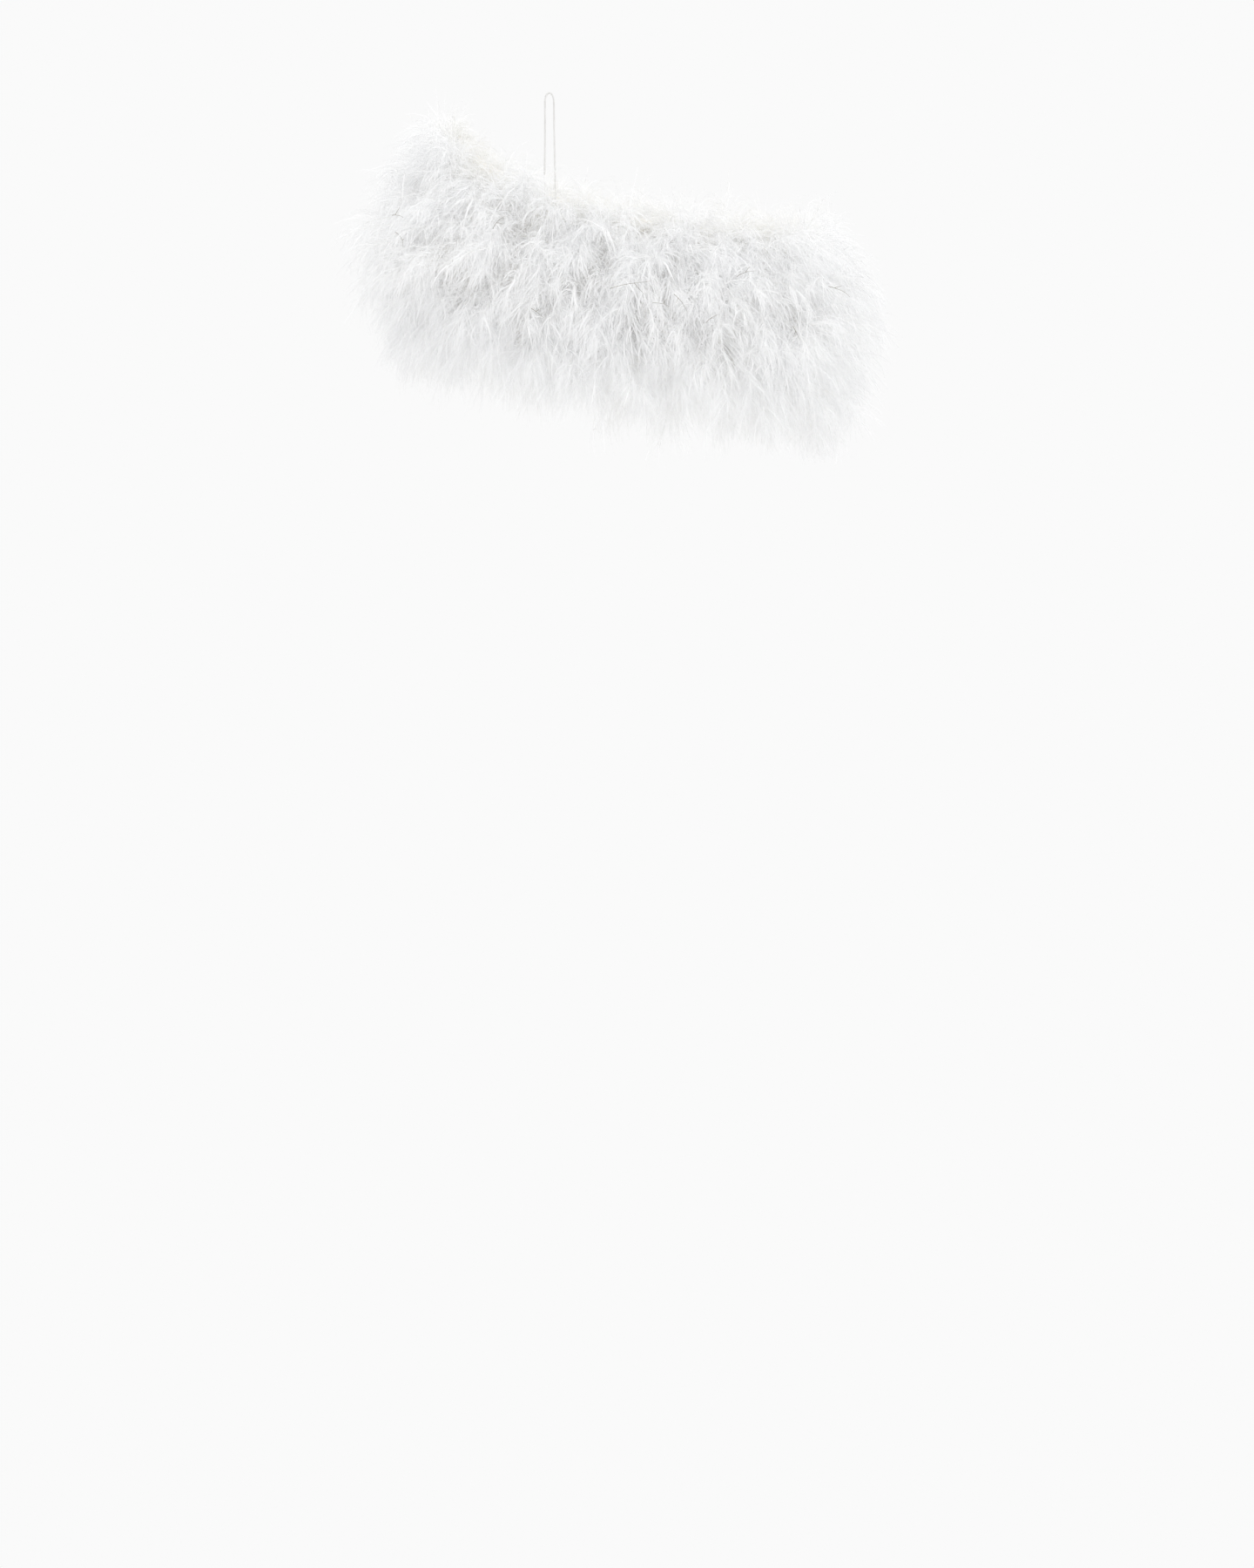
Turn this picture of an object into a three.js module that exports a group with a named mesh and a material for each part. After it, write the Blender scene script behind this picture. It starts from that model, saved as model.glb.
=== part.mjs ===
// Feather boa worn as a one-shoulder band: five plies of ostrich feathers on core cords, sewn to a lined
// fabric band that closes with press fasteners at the high side and folds open at the low side.
// Millimetres. +Z is up, +X is the wearer's low side, -Y is the front. The origin is inside the opening.
import * as THREE from "three";
import { mergeVertices } from "three/addons/utils/BufferGeometryUtils.js";

// ---- the wearer's opening, and the band that goes round it ----
const OPENING_CENTRE_X = -18;
const OPENING_HALF_WIDTH = 243;
const OPENING_HALF_DEPTH = 118;
const LOW_SIDE_TOP = 62;
const HIGH_SIDE_RISE = 128;
const HIGH_SIDE_POWER = 2.68;
const BACK_EXTRA_RISE = 12;
const LOW_SIDE_BOTTOM = -125;
const HIGH_SIDE_BOTTOM_RISE = 65;
const SHOULDER_START = 60;
const SHOULDER_HEIGHT = 130;
const SHOULDER_LEAN = 40;

// ---- steps round each half, from the fold at the low side to the closure at the high side ----
const FEATHER_START_ANGLE = THREE.MathUtils.degToRad(9);
const FEATHER_STEPS = 16;
const LAST_STEP = FEATHER_STEPS + 1;
const FOLD_GAP = 0.3;
const CLOSURE_Y = { front: 3.8, back: 2.2 };

// ---- how far each layer stands out from the opening; what lines the band is inside it ----
const BAND_OUT = [-0.6, 0.5];
const LINING_OUT = [-2.2, -0.9];
const ELASTIC_OUT = [-3.4, -2.6];
const ELASTIC_LEVELS = [0.62, 1];
const BINDING_GAP = 0.4;
const BINDING_HEIGHT = 3;

// ---- the plies, from the top row down ----
const ROWS = 5;
const ROW_GAP = 0.3;
const FEATHER_ROOT_OUT = 0.9;
const FEATHER_REACH = [78, 115, 125, 120, 100];
const NEAR_OUT = 38;
const FAR_OUT = 70;
const NEAR_DROOP = 8;
const FAR_DROOP = 22;
const NOSE_DROOP = 12;
const NOSE_UNDERCUT = 7;
const TOP_FLUFF = 11;
const HEM_DROOP = 95;
const HEM_NEAR_OUT = 25;
const HEM_FAR_OUT = 58;
const CORE_OUT = 6.3;
const CORE_RADIUS = 3.2;
const BORE_RADIUS = 4.7;
const WHIPPING_RADII = { inner: 3.5, outer: 4.3 };
const WHIPPING_START = LAST_STEP - 0.45;
const CORD_SIDES = 8;
const LEVEL_BEFORE_OUT = 1000;

// ---- the closure: two facings turned in at the high side, and their press fasteners ----
const FACING_WIDTH = 24;
const FACING_Y = { front: [-3.4, -2.4], back: [0.8, 1.8] };
const FACING_LEVELS = [0.2, 1, 2, 3, 4, 4.8];
const SNAP_LEVELS = { upper: 1, middle: 2.5, lower: 4 };
const SNAP_INSET = 12;
const SNAP_RADIUS = 5.5;
const SNAP_HOLE_RADIUS = 2.4;
const SOCKET_Y = [-2.1, -0.6];
const STUD_DISC_Y = [-0.3, 0.5];
const STUD_RADIUS = 1.9;
const STUD_TIP_RADIUS = 1.33;
const STUD_WAIST_RADIUS = 1.425;
const STUD_TIP_Y = -1.9;
const ROUND_SIDES = 16;

// ---- the sockets that button the boa to a garment, on the front lining ----
const GARMENT_SOCKET_STEPS = { right: 6, middle: 9, left: 12 };
const GARMENT_SOCKET_LEVEL = 2.5;
const GARMENT_SOCKET_OUT = [-4.2, -2.8];

// ---- the hanging loop, sewn to an anchor tab on the front lining ----
const TAB_STEPS = [10.28, 10.86];
const TAB_HEIGHTS = [89, 101];
const TAB_OUT = [-5, -2.7];
const LOOP_DIAMETER = 2.4;
const LOOP_SEGMENTS = 60;
const LOOP_ROUTE = [
  [-107, -98, 93.5],
  [-107, -98, 100],
  [-107, -98, 110],
  [-106.9, -97.9, 120],
  [-106.7, -97.8, 138],
  [-106.4, -97.6, 156],
  [-106.1, -97.4, 174],
  [-105.9, -97.2, 191],
  [-105.7, -97, 209],
  [-105.6, -96.9, 225],
  [-105.2, -96.8, 234],
  [-103.4, -96.8, 239.2],
  [-100, -96.9, 241.4],
  [-96.6, -97, 239.2],
  [-94.8, -97.1, 234],
  [-94.4, -97.2, 225],
  [-94.3, -97.6, 209],
  [-94.1, -98.1, 191],
  [-93.9, -98.6, 174],
  [-93.6, -99.1, 156],
  [-93.3, -99.7, 138],
  [-93.1, -100.2, 120],
  [-93, -100.7, 110],
  [-93, -100.8, 100],
  [-93, -100.8, 93.5],
];

// ---- colours ----
const material = (color, roughness, metalness = 0) =>
  new THREE.MeshStandardMaterial({ color, roughness, metalness });
const MATERIALS = {
  feather: material(0xf1f0ee, 0.9),
  coreCord: material(0xe9e4d8, 0.85),
  thread: material(0xf4f0e6, 0.8),
  band: material(0xeee8dc, 0.75),
  lining: material(0xf2ede4, 0.5),
  binding: material(0xf0eadf, 0.45),
  elastic: material(0xe6e1d6, 0.6),
  snap: material(0xc4c6c8, 0.3, 1),
  loop: material(0xf3f0ea, 0.5),
};

// ---- the two halves: which way each goes, and how much higher its edge is half way round ----
const HALVES = {
  front: { side: -1, extraRise: 0, closureY: CLOSURE_Y.front },
  back: { side: 1, extraRise: BACK_EXTRA_RISE, closureY: CLOSURE_Y.back },
};

const lerp = THREE.MathUtils.lerp;

/** The angle round the opening of a whole step: 0 is the low side, pi is the high side. */
function angleAt(half, step) {
  if (step === 0) return Math.asin(FOLD_GAP / OPENING_HALF_DEPTH);
  const last = Math.PI - Math.asin(half.closureY / OPENING_HALF_DEPTH);
  return lerp(FEATHER_START_ANGLE, last, (step - 1) / FEATHER_STEPS);
}

/** The band's top and bottom heights at an angle. */
function edgesAt(half, angle) {
  const across = (1 - Math.cos(angle)) / 2;
  const top = LOW_SIDE_TOP + HIGH_SIDE_RISE * across ** HIGH_SIDE_POWER;
  return {
    top: top + half.extraRise * Math.sin(angle),
    bottom: LOW_SIDE_BOTTOM + HIGH_SIDE_BOTTOM_RISE * across,
  };
}

/** How far the band leans in over the shoulder at a height. */
function leanAt(height) {
  const above = Math.max(0, height - SHOULDER_START) / SHOULDER_HEIGHT;
  return SHOULDER_LEAN * above ** 2;
}

/**
 * A point of the wall at a whole step, out from the opening, at a level from 0 (top) to ROWS (bottom).
 * At the last step the wall stands straight out sideways, so that the closure's ends are flat.
 */
function ringPoint(half, step, out, level, rise) {
  const angle = angleAt(half, step);
  const { top, bottom } = edgesAt(half, angle);
  const heightOf = (at) => lerp(top, bottom, at / ROWS);
  const above = THREE.MathUtils.clamp(Math.floor(level), 0, ROWS - 1);
  const lean = lerp(leanAt(heightOf(above)), leanAt(heightOf(above + 1)), level - above);
  const outwards = step === LAST_STEP ? Math.PI : angle;
  const across = OPENING_HALF_DEPTH * Math.cos(outwards);
  const along = OPENING_HALF_WIDTH * Math.sin(outwards);
  const reach = (out - lean) / Math.hypot(across, along);
  return new THREE.Vector3(
    OPENING_CENTRE_X + OPENING_HALF_WIDTH * Math.cos(angle) + reach * across,
    half.side * (OPENING_HALF_DEPTH * Math.sin(angle) + reach * along),
    heightOf(level) + rise,
  );
}

/** The same at any step, on the straight stretch between two whole steps. */
function wallPoint(half, step, out, level, rise = 0) {
  const before = Math.min(Math.floor(step), LAST_STEP - 1);
  const start = ringPoint(half, before, out, level, rise);
  const end = ringPoint(half, before + 1, out, level, rise);
  return start.lerp(end, step - before);
}

/** The level of a height at any step. */
function levelOf(half, step, height) {
  const top = wallPoint(half, step, 0, 0).z;
  const bottom = wallPoint(half, step, 0, ROWS).z;
  return (ROWS * (top - height)) / (top - bottom);
}

/** The whole steps between two ends, with the ends. */
function stepsBetween(first, last) {
  const steps = [first];
  for (let step = Math.floor(first) + 1; step < last; step += 1) steps.push(step);
  steps.push(last);
  return steps;
}

/** Shared corners instead of doubled ones, and faces that point outwards. */
function closedSolid(geometry) {
  geometry.deleteAttribute("normal");
  geometry.deleteAttribute("uv");
  const solid = mergeVertices(geometry);
  const [a, b, c] = [new THREE.Vector3(), new THREE.Vector3(), new THREE.Vector3()];
  const { position } = solid.attributes;
  const corners = Array.from(solid.index.array);
  let volume = 0;
  for (let i = 0; i < corners.length; i += 3) {
    a.fromBufferAttribute(position, corners[i]);
    b.fromBufferAttribute(position, corners[i + 1]);
    c.fromBufferAttribute(position, corners[i + 2]);
    volume += a.dot(b.cross(c));
  }
  if (volume < 0) solid.setIndex(corners.reverse());
  return solid;
}

/** The triangles that close a section, all counter-clockwise, numbered through its outline and bore. */
function capFaces(outline, bore) {
  const corners = [...outline, ...bore];
  const faces = THREE.ShapeUtils.triangulateShape([...outline], bore.length ? [[...bore]] : []);
  return faces.map((face) => {
    const clockwise = THREE.ShapeUtils.isClockWise(face.map((corner) => corners[corner]));
    return clockwise ? [...face].reverse() : face;
  });
}

/** A point of a section: how far out, at which level, and how far above it. */
const at = (out, level, rise = 0) => ({ out, level, rise });

/** The order, by level and then by out, that makes neighbouring solids split a wall's quads alike. */
const splitOrder = ({ out, level }) => LEVEL_BEFORE_OUT * level + out;

/**
 * A closed solid along the wall, through one section at each step. A section is { outline, bore } of
 * points, both counter-clockwise seen with the wearer at the left; bore is left out of a solid strip.
 */
function loft(half, steps, sectionAt) {
  const positions = [];
  const triangles = [];
  const caps = [];
  let sizes = [];
  let order = [];
  for (const step of steps) {
    const { outline, bore = [] } = sectionAt(step);
    sizes = [outline.length, bore.length];
    order = [...outline, ...bore].map(splitOrder);
    const flat = [...outline, ...bore].map(({ out, level, rise }) => {
      const point = wallPoint(half, step, out, level, rise);
      positions.push(point.x, point.y, point.z);
      return new THREE.Vector2(out, point.z);
    });
    caps.push(capFaces(flat.slice(0, outline.length), flat.slice(outline.length)));
  }
  const [outlineSize, boreSize] = sizes;
  const ringSize = outlineSize + boreSize;
  const addWall = (firstCorner, start, size, inward) => {
    for (let i = 0; i < size; i += 1) {
      const [near, far] = [start + i, start + ((i + 1) % size)];
      const [a, b] = [firstCorner + near, firstCorner + far];
      const [c, d] = [b + ringSize, a + ringSize];
      const quad = order[near] <= order[far] ? [a, b, c, a, c, d] : [a, b, d, b, c, d];
      triangles.push(...(inward ? quad.reverse() : quad));
    }
  };
  for (let ring = 0; ring + 1 < steps.length; ring += 1) {
    addWall(ring * ringSize, 0, outlineSize, false);
    addWall(ring * ringSize, outlineSize, boreSize, true);
  }
  const lastRing = (steps.length - 1) * ringSize;
  for (const face of caps[0]) triangles.push(...[...face].reverse());
  for (const face of caps.at(-1)) triangles.push(...face.map((corner) => corner + lastRing));
  const geometry = new THREE.BufferGeometry();
  geometry.setAttribute("position", new THREE.Float32BufferAttribute(positions, 3));
  geometry.setIndex(triangles);
  return closedSolid(geometry);
}

/** A flat strip's section between two distances out and two levels. */
function stripSection([inner, outer], [top, bottom], rises = [0, 0]) {
  return {
    outline: [
      at(inner, top, rises[0]),
      at(inner, bottom, rises[1]),
      at(outer, bottom, rises[1]),
      at(outer, top, rises[0]),
    ],
  };
}

/** A tall sheet's section, with a corner at every level so that it follows the lean of the shoulder. */
function sheetSection([inner, outer]) {
  const levels = Array.from({ length: ROWS + 1 }, (_, level) => level);
  return {
    outline: [
      ...levels.map((level) => at(inner, level)),
      ...levels.reverse().map((level) => at(outer, level)),
    ],
  };
}

/** The round section of what runs along the middle of a row. */
function roundSection(half, step, row, radius) {
  const rowHeight = (wallPoint(half, step, 0, 0).z - wallPoint(half, step, 0, ROWS).z) / ROWS;
  return Array.from({ length: CORD_SIDES }, (_, side) => {
    const angle = (2 * Math.PI * (side + 0.5)) / CORD_SIDES;
    const level = row + 0.5 - (radius * Math.sin(angle)) / rowHeight;
    return at(CORE_OUT + radius * Math.cos(angle), level);
  });
}

/** Three points along the joint between two rows of feathers, from the band outwards. */
function rowEdge(level, gap) {
  if (level === 0) return [at(FEATHER_ROOT_OUT, 0, gap), at(NEAR_OUT, 0, TOP_FLUFF), at(FAR_OUT, 0, 0)];
  if (level === ROWS) {
    return [
      at(FEATHER_ROOT_OUT, ROWS, gap),
      at(HEM_NEAR_OUT, ROWS, -HEM_DROOP / 2),
      at(HEM_FAR_OUT, ROWS, -HEM_DROOP),
    ];
  }
  return [
    at(FEATHER_ROOT_OUT, level, gap),
    at(NEAR_OUT, level, gap - NEAR_DROOP),
    at(FAR_OUT, level, gap - FAR_DROOP),
  ];
}

/** The drooping section of a row of feathers round its core cord. */
function featherSection(half, step, row) {
  const reach = FEATHER_REACH[row];
  const isHem = row === ROWS - 1;
  const noseLow = isHem
    ? at(reach - 2 * NOSE_UNDERCUT, ROWS, NOSE_UNDERCUT - HEM_DROOP)
    : at(reach - NOSE_UNDERCUT, row + 1, ROW_GAP - FAR_DROOP);
  const noseHigh = at(reach, row, row === 0 ? -FAR_DROOP : -FAR_DROOP - NOSE_DROOP);
  return {
    outline: [
      rowEdge(row, -ROW_GAP)[0],
      ...rowEdge(row + 1, ROW_GAP),
      noseLow,
      noseHigh,
      ...rowEdge(row, -ROW_GAP).slice(1).reverse(),
    ],
    bore: roundSection(half, step, row, BORE_RADIUS),
  };
}

// ---- the sub-parts ----
const featherRow = (half, row) =>
  loft(half, stepsBetween(1, LAST_STEP), (step) => featherSection(half, step, row));

const coreCord = (half, row) =>
  loft(half, stepsBetween(0, LAST_STEP), (step) => ({ outline: roundSection(half, step, row, CORE_RADIUS) }));

const whipping = (half, row) =>
  loft(half, stepsBetween(WHIPPING_START, LAST_STEP), (step) => ({
    outline: roundSection(half, step, row, WHIPPING_RADII.outer),
    bore: roundSection(half, step, row, WHIPPING_RADII.inner),
  }));

const sheet = (half, out) => loft(half, stepsBetween(0, LAST_STEP), () => sheetSection(out));

const strip = (half, out, levels, rises) =>
  loft(half, stepsBetween(0, LAST_STEP), () => stripSection(out, levels, rises));

const BINDING_OUT = [LINING_OUT[0], BAND_OUT[1]];
const topBinding = (half) =>
  strip(half, BINDING_OUT, [0, 0], [BINDING_GAP + BINDING_HEIGHT, BINDING_GAP]);
const bottomBinding = (half) =>
  strip(half, BINDING_OUT, [ROWS, ROWS], [-BINDING_GAP, -BINDING_GAP - BINDING_HEIGHT]);

/** The band's end at a level, where a facing turns in. */
const closureEdge = (level) => wallPoint(HALVES.front, LAST_STEP, BAND_OUT[1], level);

/** A flat facing across the band's end, from its outer edge inwards. */
function closureFacing([nearY, farY]) {
  const edge = FACING_LEVELS.map(closureEdge);
  const outline = [
    ...edge.map(({ x, z }) => new THREE.Vector2(x, z)),
    ...edge.reverse().map(({ x, z }) => new THREE.Vector2(x + FACING_WIDTH, z)),
  ];
  const options = { depth: farY - nearY, bevelEnabled: false };
  const geometry = new THREE.ExtrudeGeometry(new THREE.Shape(outline), options);
  return closedSolid(geometry.rotateX(Math.PI / 2).translate(0, farY, 0));
}

/** A solid turned round the Y axis, from a profile of [radius, y] points. */
function turned(profile) {
  const points = profile.map(([radius, y]) => new THREE.Vector2(radius, y));
  return closedSolid(new THREE.LatheGeometry(points, ROUND_SIDES));
}

/** A press fastener's socket: a flat ring between two faces. */
function snapSocket([low, high]) {
  return turned([
    [SNAP_HOLE_RADIUS, low],
    [SNAP_RADIUS, low],
    [SNAP_RADIUS, high],
    [SNAP_HOLE_RADIUS, high],
    [SNAP_HOLE_RADIUS, low],
  ]);
}

/** A press fastener's stud: a disc with a waisted knob that points to the front. */
function snapStud([low, high]) {
  return turned([
    [0, STUD_TIP_Y],
    [STUD_TIP_RADIUS, STUD_TIP_Y],
    [STUD_RADIUS, (STUD_TIP_Y + low) / 2],
    [STUD_WAIST_RADIUS, low],
    [SNAP_RADIUS, low],
    [SNAP_RADIUS, high],
    [0, high],
  ]);
}

/** The tab that the hanging loop is sewn to, flat on the lining. */
function anchorTab(half) {
  return loft(half, stepsBetween(...TAB_STEPS), (step) => {
    const [bottom, top] = TAB_HEIGHTS.map((height) => levelOf(half, step, height));
    return stripSection(TAB_OUT, [top, bottom]);
  });
}

/** The loop's cord along its route. */
function loopCord() {
  const radius = LOOP_DIAMETER / 2;
  const corners = Array.from({ length: CORD_SIDES }, (_, side) => {
    const angle = (2 * Math.PI * side) / CORD_SIDES;
    return new THREE.Vector2(radius * Math.cos(angle), radius * Math.sin(angle));
  });
  const route = new THREE.CatmullRomCurve3(LOOP_ROUTE.map((point) => new THREE.Vector3(...point)));
  const options = { steps: LOOP_SEGMENTS, extrudePath: route, bevelEnabled: false };
  return closedSolid(new THREE.ExtrudeGeometry(new THREE.Shape(corners), options));
}

// ---- the assembly ----
const boa = new THREE.Group();
boa.name = "feather_boa";

function addPiece(name, geometry, finish) {
  const mesh = new THREE.Mesh(geometry, finish);
  mesh.name = name;
  boa.add(mesh);
  return mesh;
}

for (const [name, half] of Object.entries(HALVES)) {
  for (let row = 0; row < ROWS; row += 1) {
    const number = row + 1;
    addPiece(`feather_row_${number}_${name}`, featherRow(half, row), MATERIALS.feather);
    addPiece(`core_cord_${number}_${name}`, coreCord(half, row), MATERIALS.coreCord);
    addPiece(`end_whipping_${number}_${name}`, whipping(half, row), MATERIALS.thread);
  }
  addPiece(`band_${name}`, sheet(half, BAND_OUT), MATERIALS.band);
  addPiece(`lining_${name}`, sheet(half, LINING_OUT), MATERIALS.lining);
  addPiece(`top_binding_${name}`, topBinding(half), MATERIALS.binding);
  addPiece(`bottom_binding_${name}`, bottomBinding(half), MATERIALS.binding);
  addPiece(`grip_elastic_${name}`, strip(half, ELASTIC_OUT, ELASTIC_LEVELS), MATERIALS.elastic);
  addPiece(`closure_facing_${name}`, closureFacing(FACING_Y[name]), MATERIALS.binding);
}

for (const [name, level] of Object.entries(SNAP_LEVELS)) {
  const { x, z } = closureEdge(level);
  const socket = addPiece(`closure_socket_${name}`, snapSocket(SOCKET_Y), MATERIALS.snap);
  const stud = addPiece(`closure_stud_${name}`, snapStud(STUD_DISC_Y), MATERIALS.snap);
  for (const piece of [socket, stud]) piece.position.set(x + SNAP_INSET, 0, z);
}

for (const [name, step] of Object.entries(GARMENT_SOCKET_STEPS)) {
  const place = (out) => wallPoint(HALVES.front, step, out, GARMENT_SOCKET_LEVEL);
  const outwards = place(1).sub(place(0)).normalize();
  const socket = addPiece(`garment_socket_${name}`, snapSocket(GARMENT_SOCKET_OUT), MATERIALS.snap);
  socket.position.copy(place(0));
  socket.quaternion.setFromUnitVectors(new THREE.Vector3(0, 1, 0), outwards);
}

addPiece("loop_anchor_tab", anchorTab(HALVES.front), MATERIALS.binding);
addPiece("hanging_loop", loopCord(), MATERIALS.loop);

export default boa;
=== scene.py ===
"""Looks of the feather boa: a white ostrich-feather band worn over one shoulder, built round its CAD frame.

Metres. +X is the low side, -Y the front, +Z up. The angle round the opening is 0 at the low side, a quarter
turn at the front, a half turn at the high side, where the band closes, and three quarters at the back.
"""

import math

import bmesh
import bpy
import numpy as np
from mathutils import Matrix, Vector


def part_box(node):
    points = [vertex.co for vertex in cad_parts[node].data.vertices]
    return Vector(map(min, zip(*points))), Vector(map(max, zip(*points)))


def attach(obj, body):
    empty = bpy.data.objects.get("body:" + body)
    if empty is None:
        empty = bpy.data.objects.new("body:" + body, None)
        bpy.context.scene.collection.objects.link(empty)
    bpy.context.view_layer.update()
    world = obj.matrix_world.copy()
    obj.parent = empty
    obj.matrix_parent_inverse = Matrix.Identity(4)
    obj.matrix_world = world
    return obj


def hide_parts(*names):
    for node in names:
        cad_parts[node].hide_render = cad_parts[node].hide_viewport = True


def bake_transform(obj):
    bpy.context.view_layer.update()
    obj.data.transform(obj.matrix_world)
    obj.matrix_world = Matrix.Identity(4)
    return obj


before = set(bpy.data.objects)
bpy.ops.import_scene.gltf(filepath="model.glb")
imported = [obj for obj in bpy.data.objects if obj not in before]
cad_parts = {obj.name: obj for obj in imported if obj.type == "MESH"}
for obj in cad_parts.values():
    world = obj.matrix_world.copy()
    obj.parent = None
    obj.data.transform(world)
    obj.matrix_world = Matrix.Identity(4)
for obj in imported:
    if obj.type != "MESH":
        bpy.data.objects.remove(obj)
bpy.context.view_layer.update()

# ---- the band's wall, as the CAD frame has it ----
band_low, band_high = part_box("band_front")
BAND_FACE = 0.0005
OPENING_CENTRE_X = (band_low.x + band_high.x) / 2
OPENING_HALF_WIDTH = (band_high.x - band_low.x) / 2 - BAND_FACE
OPENING_HALF_DEPTH = -band_low.y - BAND_FACE
LOW_SIDE_TOP = 0.062
HIGH_SIDE_RISE = 0.128
HIGH_SIDE_POWER = 2.68
BACK_EXTRA_RISE = 0.012
LOW_SIDE_BOTTOM = -0.125
HIGH_SIDE_BOTTOM_RISE = 0.065
SHOULDER_START = 0.06
SHOULDER_HEIGHT = 0.13
SHOULDER_LEAN = 0.04
ROWS = 5

# ---- where the boa is split: its low side stays where it is, the rest rides on one half ----
SIDE_START_X = 0.1
PARTS = {"front": "front_half", "back": "back_half", "side": None}

# ---- feathers ----
SEED = 41
UP = np.array([0.0, 0.0, 1.0])
NEARLY_UP = UP + 0.01
TURN_STEPS = 720
TANGLE_WAVE_COUNT = 9
TANGLE_WAVE_RANGE = (55, 190)
PLUMES_PER_ROW = 350
FLUES_PER_PLUME = 50
HAIRS_PER_FLUE = 11
QUILL_SEGMENTS = 6
FLUE_SEGMENTS = 4
CORE_OUT = 0.006
# for each row from the top: the quill's length, its lowest and highest angle above level in degrees
QUILLS = ((0.055, 0, 70), (0.09, -15, 45), (0.105, -25, 35), (0.1, -40, 20), (0.1, -75, -5))
# for each row from the top: the share of a quill's length that is trimmed off at the high side
HIGH_SIDE_TRIMS = (0.3, 0.25, 0.05, 0.35, 0.55)
HIGH_SIDE_TRIM_POWER = 2.5
ROW_EDGE = 0.05
QUILL_SPACING_OUT = 0.05
QUILL_SPACING_SCATTER = 0.02
QUILL_LENGTHS = (0.6, 1.15)
QUILL_DROOP = 0.9
QUILL_SPLAY = 0.55
QUILL_SWAY = 0.25
QUILL_RADIUS = 0.0005
QUILL_TAPER = 0.75
QUILL_SIDES = 3
WHITE_SLOT = 0
QUILL_SLOT = 1
# the edge plumes' slot: their flues are tinted a touch darker and warmer than the white ones, as painted
# shade along the top edge
CREST_SHADE_SLOT = 2
FLUE_LENGTH = 0.056
FLUE_LENGTHS = (0.6, 1.25)
FLUES_START = 0.08
FLUE_BULGE = 0.35
FLUE_SPREAD = (0.5, 1.2)
SPREAD_AT_ROOT = 1.1
SPREAD_LOSS = 0.6
FLUE_WIDTH = 0.0007
FLUE_WIDTH_SPREAD = 0.35
FLUE_TAPER = 0.8
FLUE_TONES = (0.01, 0.985)
TONE_WIDTH = 0.004
FLUE_DROOP = 1.35
FLUE_SWAY = 0.35
FLUE_SCATTER = 0.4
HAIR_LENGTH = 0.007
HAIR_LENGTHS = (0.5, 1.2)
HAIR_WIDTH = 0.00035
HAIRS_START = 0.06
HAIR_LEANS = (0.5, 1.1)
HAIR_DROOP = 0.15
HAIR_TAPER = 0.45
HAIR_TONE_STEP = 0.15
DOWN_PER_ROW = 330
DOWN_REACH = 0.055
FLUES_PER_DOWN = 20
DOWN_LENGTH = 0.035
DOWN_RISE = (-60, 60)
DOWN_SPLAY = 1.0
DOWN_SPREAD = (0.8, 1.6)
CREST_PLUMES = 330
CREST_REACH = 0.024
CREST_RISE = (60, 130)
CREST_LEVELS = (0.1, 0.5)
CREST_SPLAY = 0.7
FLUES_PER_CREST = 30
CREST_LENGTH = 0.034
CREST_CLEARANCE = 0.004
LINING_CLEARANCE = 0.007
LOWEST_TIP = -0.242
TIP_MARGIN = 0.05
FLUFF_LEAN = 0.5
TINY = 1e-6
LEAST_LENGTH = 1e-9

# ---- cloth, stitches, cords and metal, laid out as the CAD frame has them ----
MILLIMETRE = 0.001
CLOSURE_Y = {"front": 0.0038, "back": 0.0022}
SIDE_HALF_ANGLE = math.acos((SIDE_START_X - OPENING_CENTRE_X) / OPENING_HALF_WIDTH)
CLOSED_END = {name: math.pi - math.asin(y / OPENING_HALF_DEPTH) for name, y in CLOSURE_Y.items()}
PART_SPANS = {
    "front": (SIDE_HALF_ANGLE, CLOSED_END["front"]),
    "back": (-SIDE_HALF_ANGLE, -CLOSED_END["back"]),
    "side": (-SIDE_HALF_ANGLE, SIDE_HALF_ANGLE),
}
BAND_OUT = (-0.0006, 0.0005)
LINING_OUT = (-0.0022, -0.0009)
LINING_INSIDE = LINING_OUT[0]
ELASTIC_OUT = (-0.0034, -0.0026)
ELASTIC_LEVELS = (0.62, 1)
ELASTIC_SEAM = 0.05
BAND_PUCKER = 0.0002
BAND_WAVE = 0.021
LINING_PUCKER = 0.0006
LINING_WAVE = 0.027
ELASTIC_GATHER = 0.0006
ELASTIC_WAVE = 0.007
# each sheet's distances out, its levels, and the depth and width of its gathers
BAND_SHAPE = (BAND_OUT, (0, ROWS), BAND_PUCKER, BAND_WAVE)
LINING_SHAPE = (LINING_OUT, (0, ROWS), LINING_PUCKER, LINING_WAVE)
ELASTIC_SHAPE = (ELASTIC_OUT, ELASTIC_LEVELS, ELASTIC_GATHER, ELASTIC_WAVE)
LAYER_STEP = 0.002
LAYER_COLUMNS = 60
LEAST_COLUMNS = 7
DOUBLED = 0.00001
BINDING_SKIN = 0.00035
BINDING_RISE = 0.0032
BINDING_LEG = 0.006
BINDING_TURNS = 9
BINDING_ROWS = 4
BINDING_SEAM = 0.0045
THREAD_RADIUS = 0.00028
THREAD_SIDES = 6
THREAD_SLOT = 1
STITCH_PITCH = 0.0034
STITCH_LENGTH = 0.0028
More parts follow.
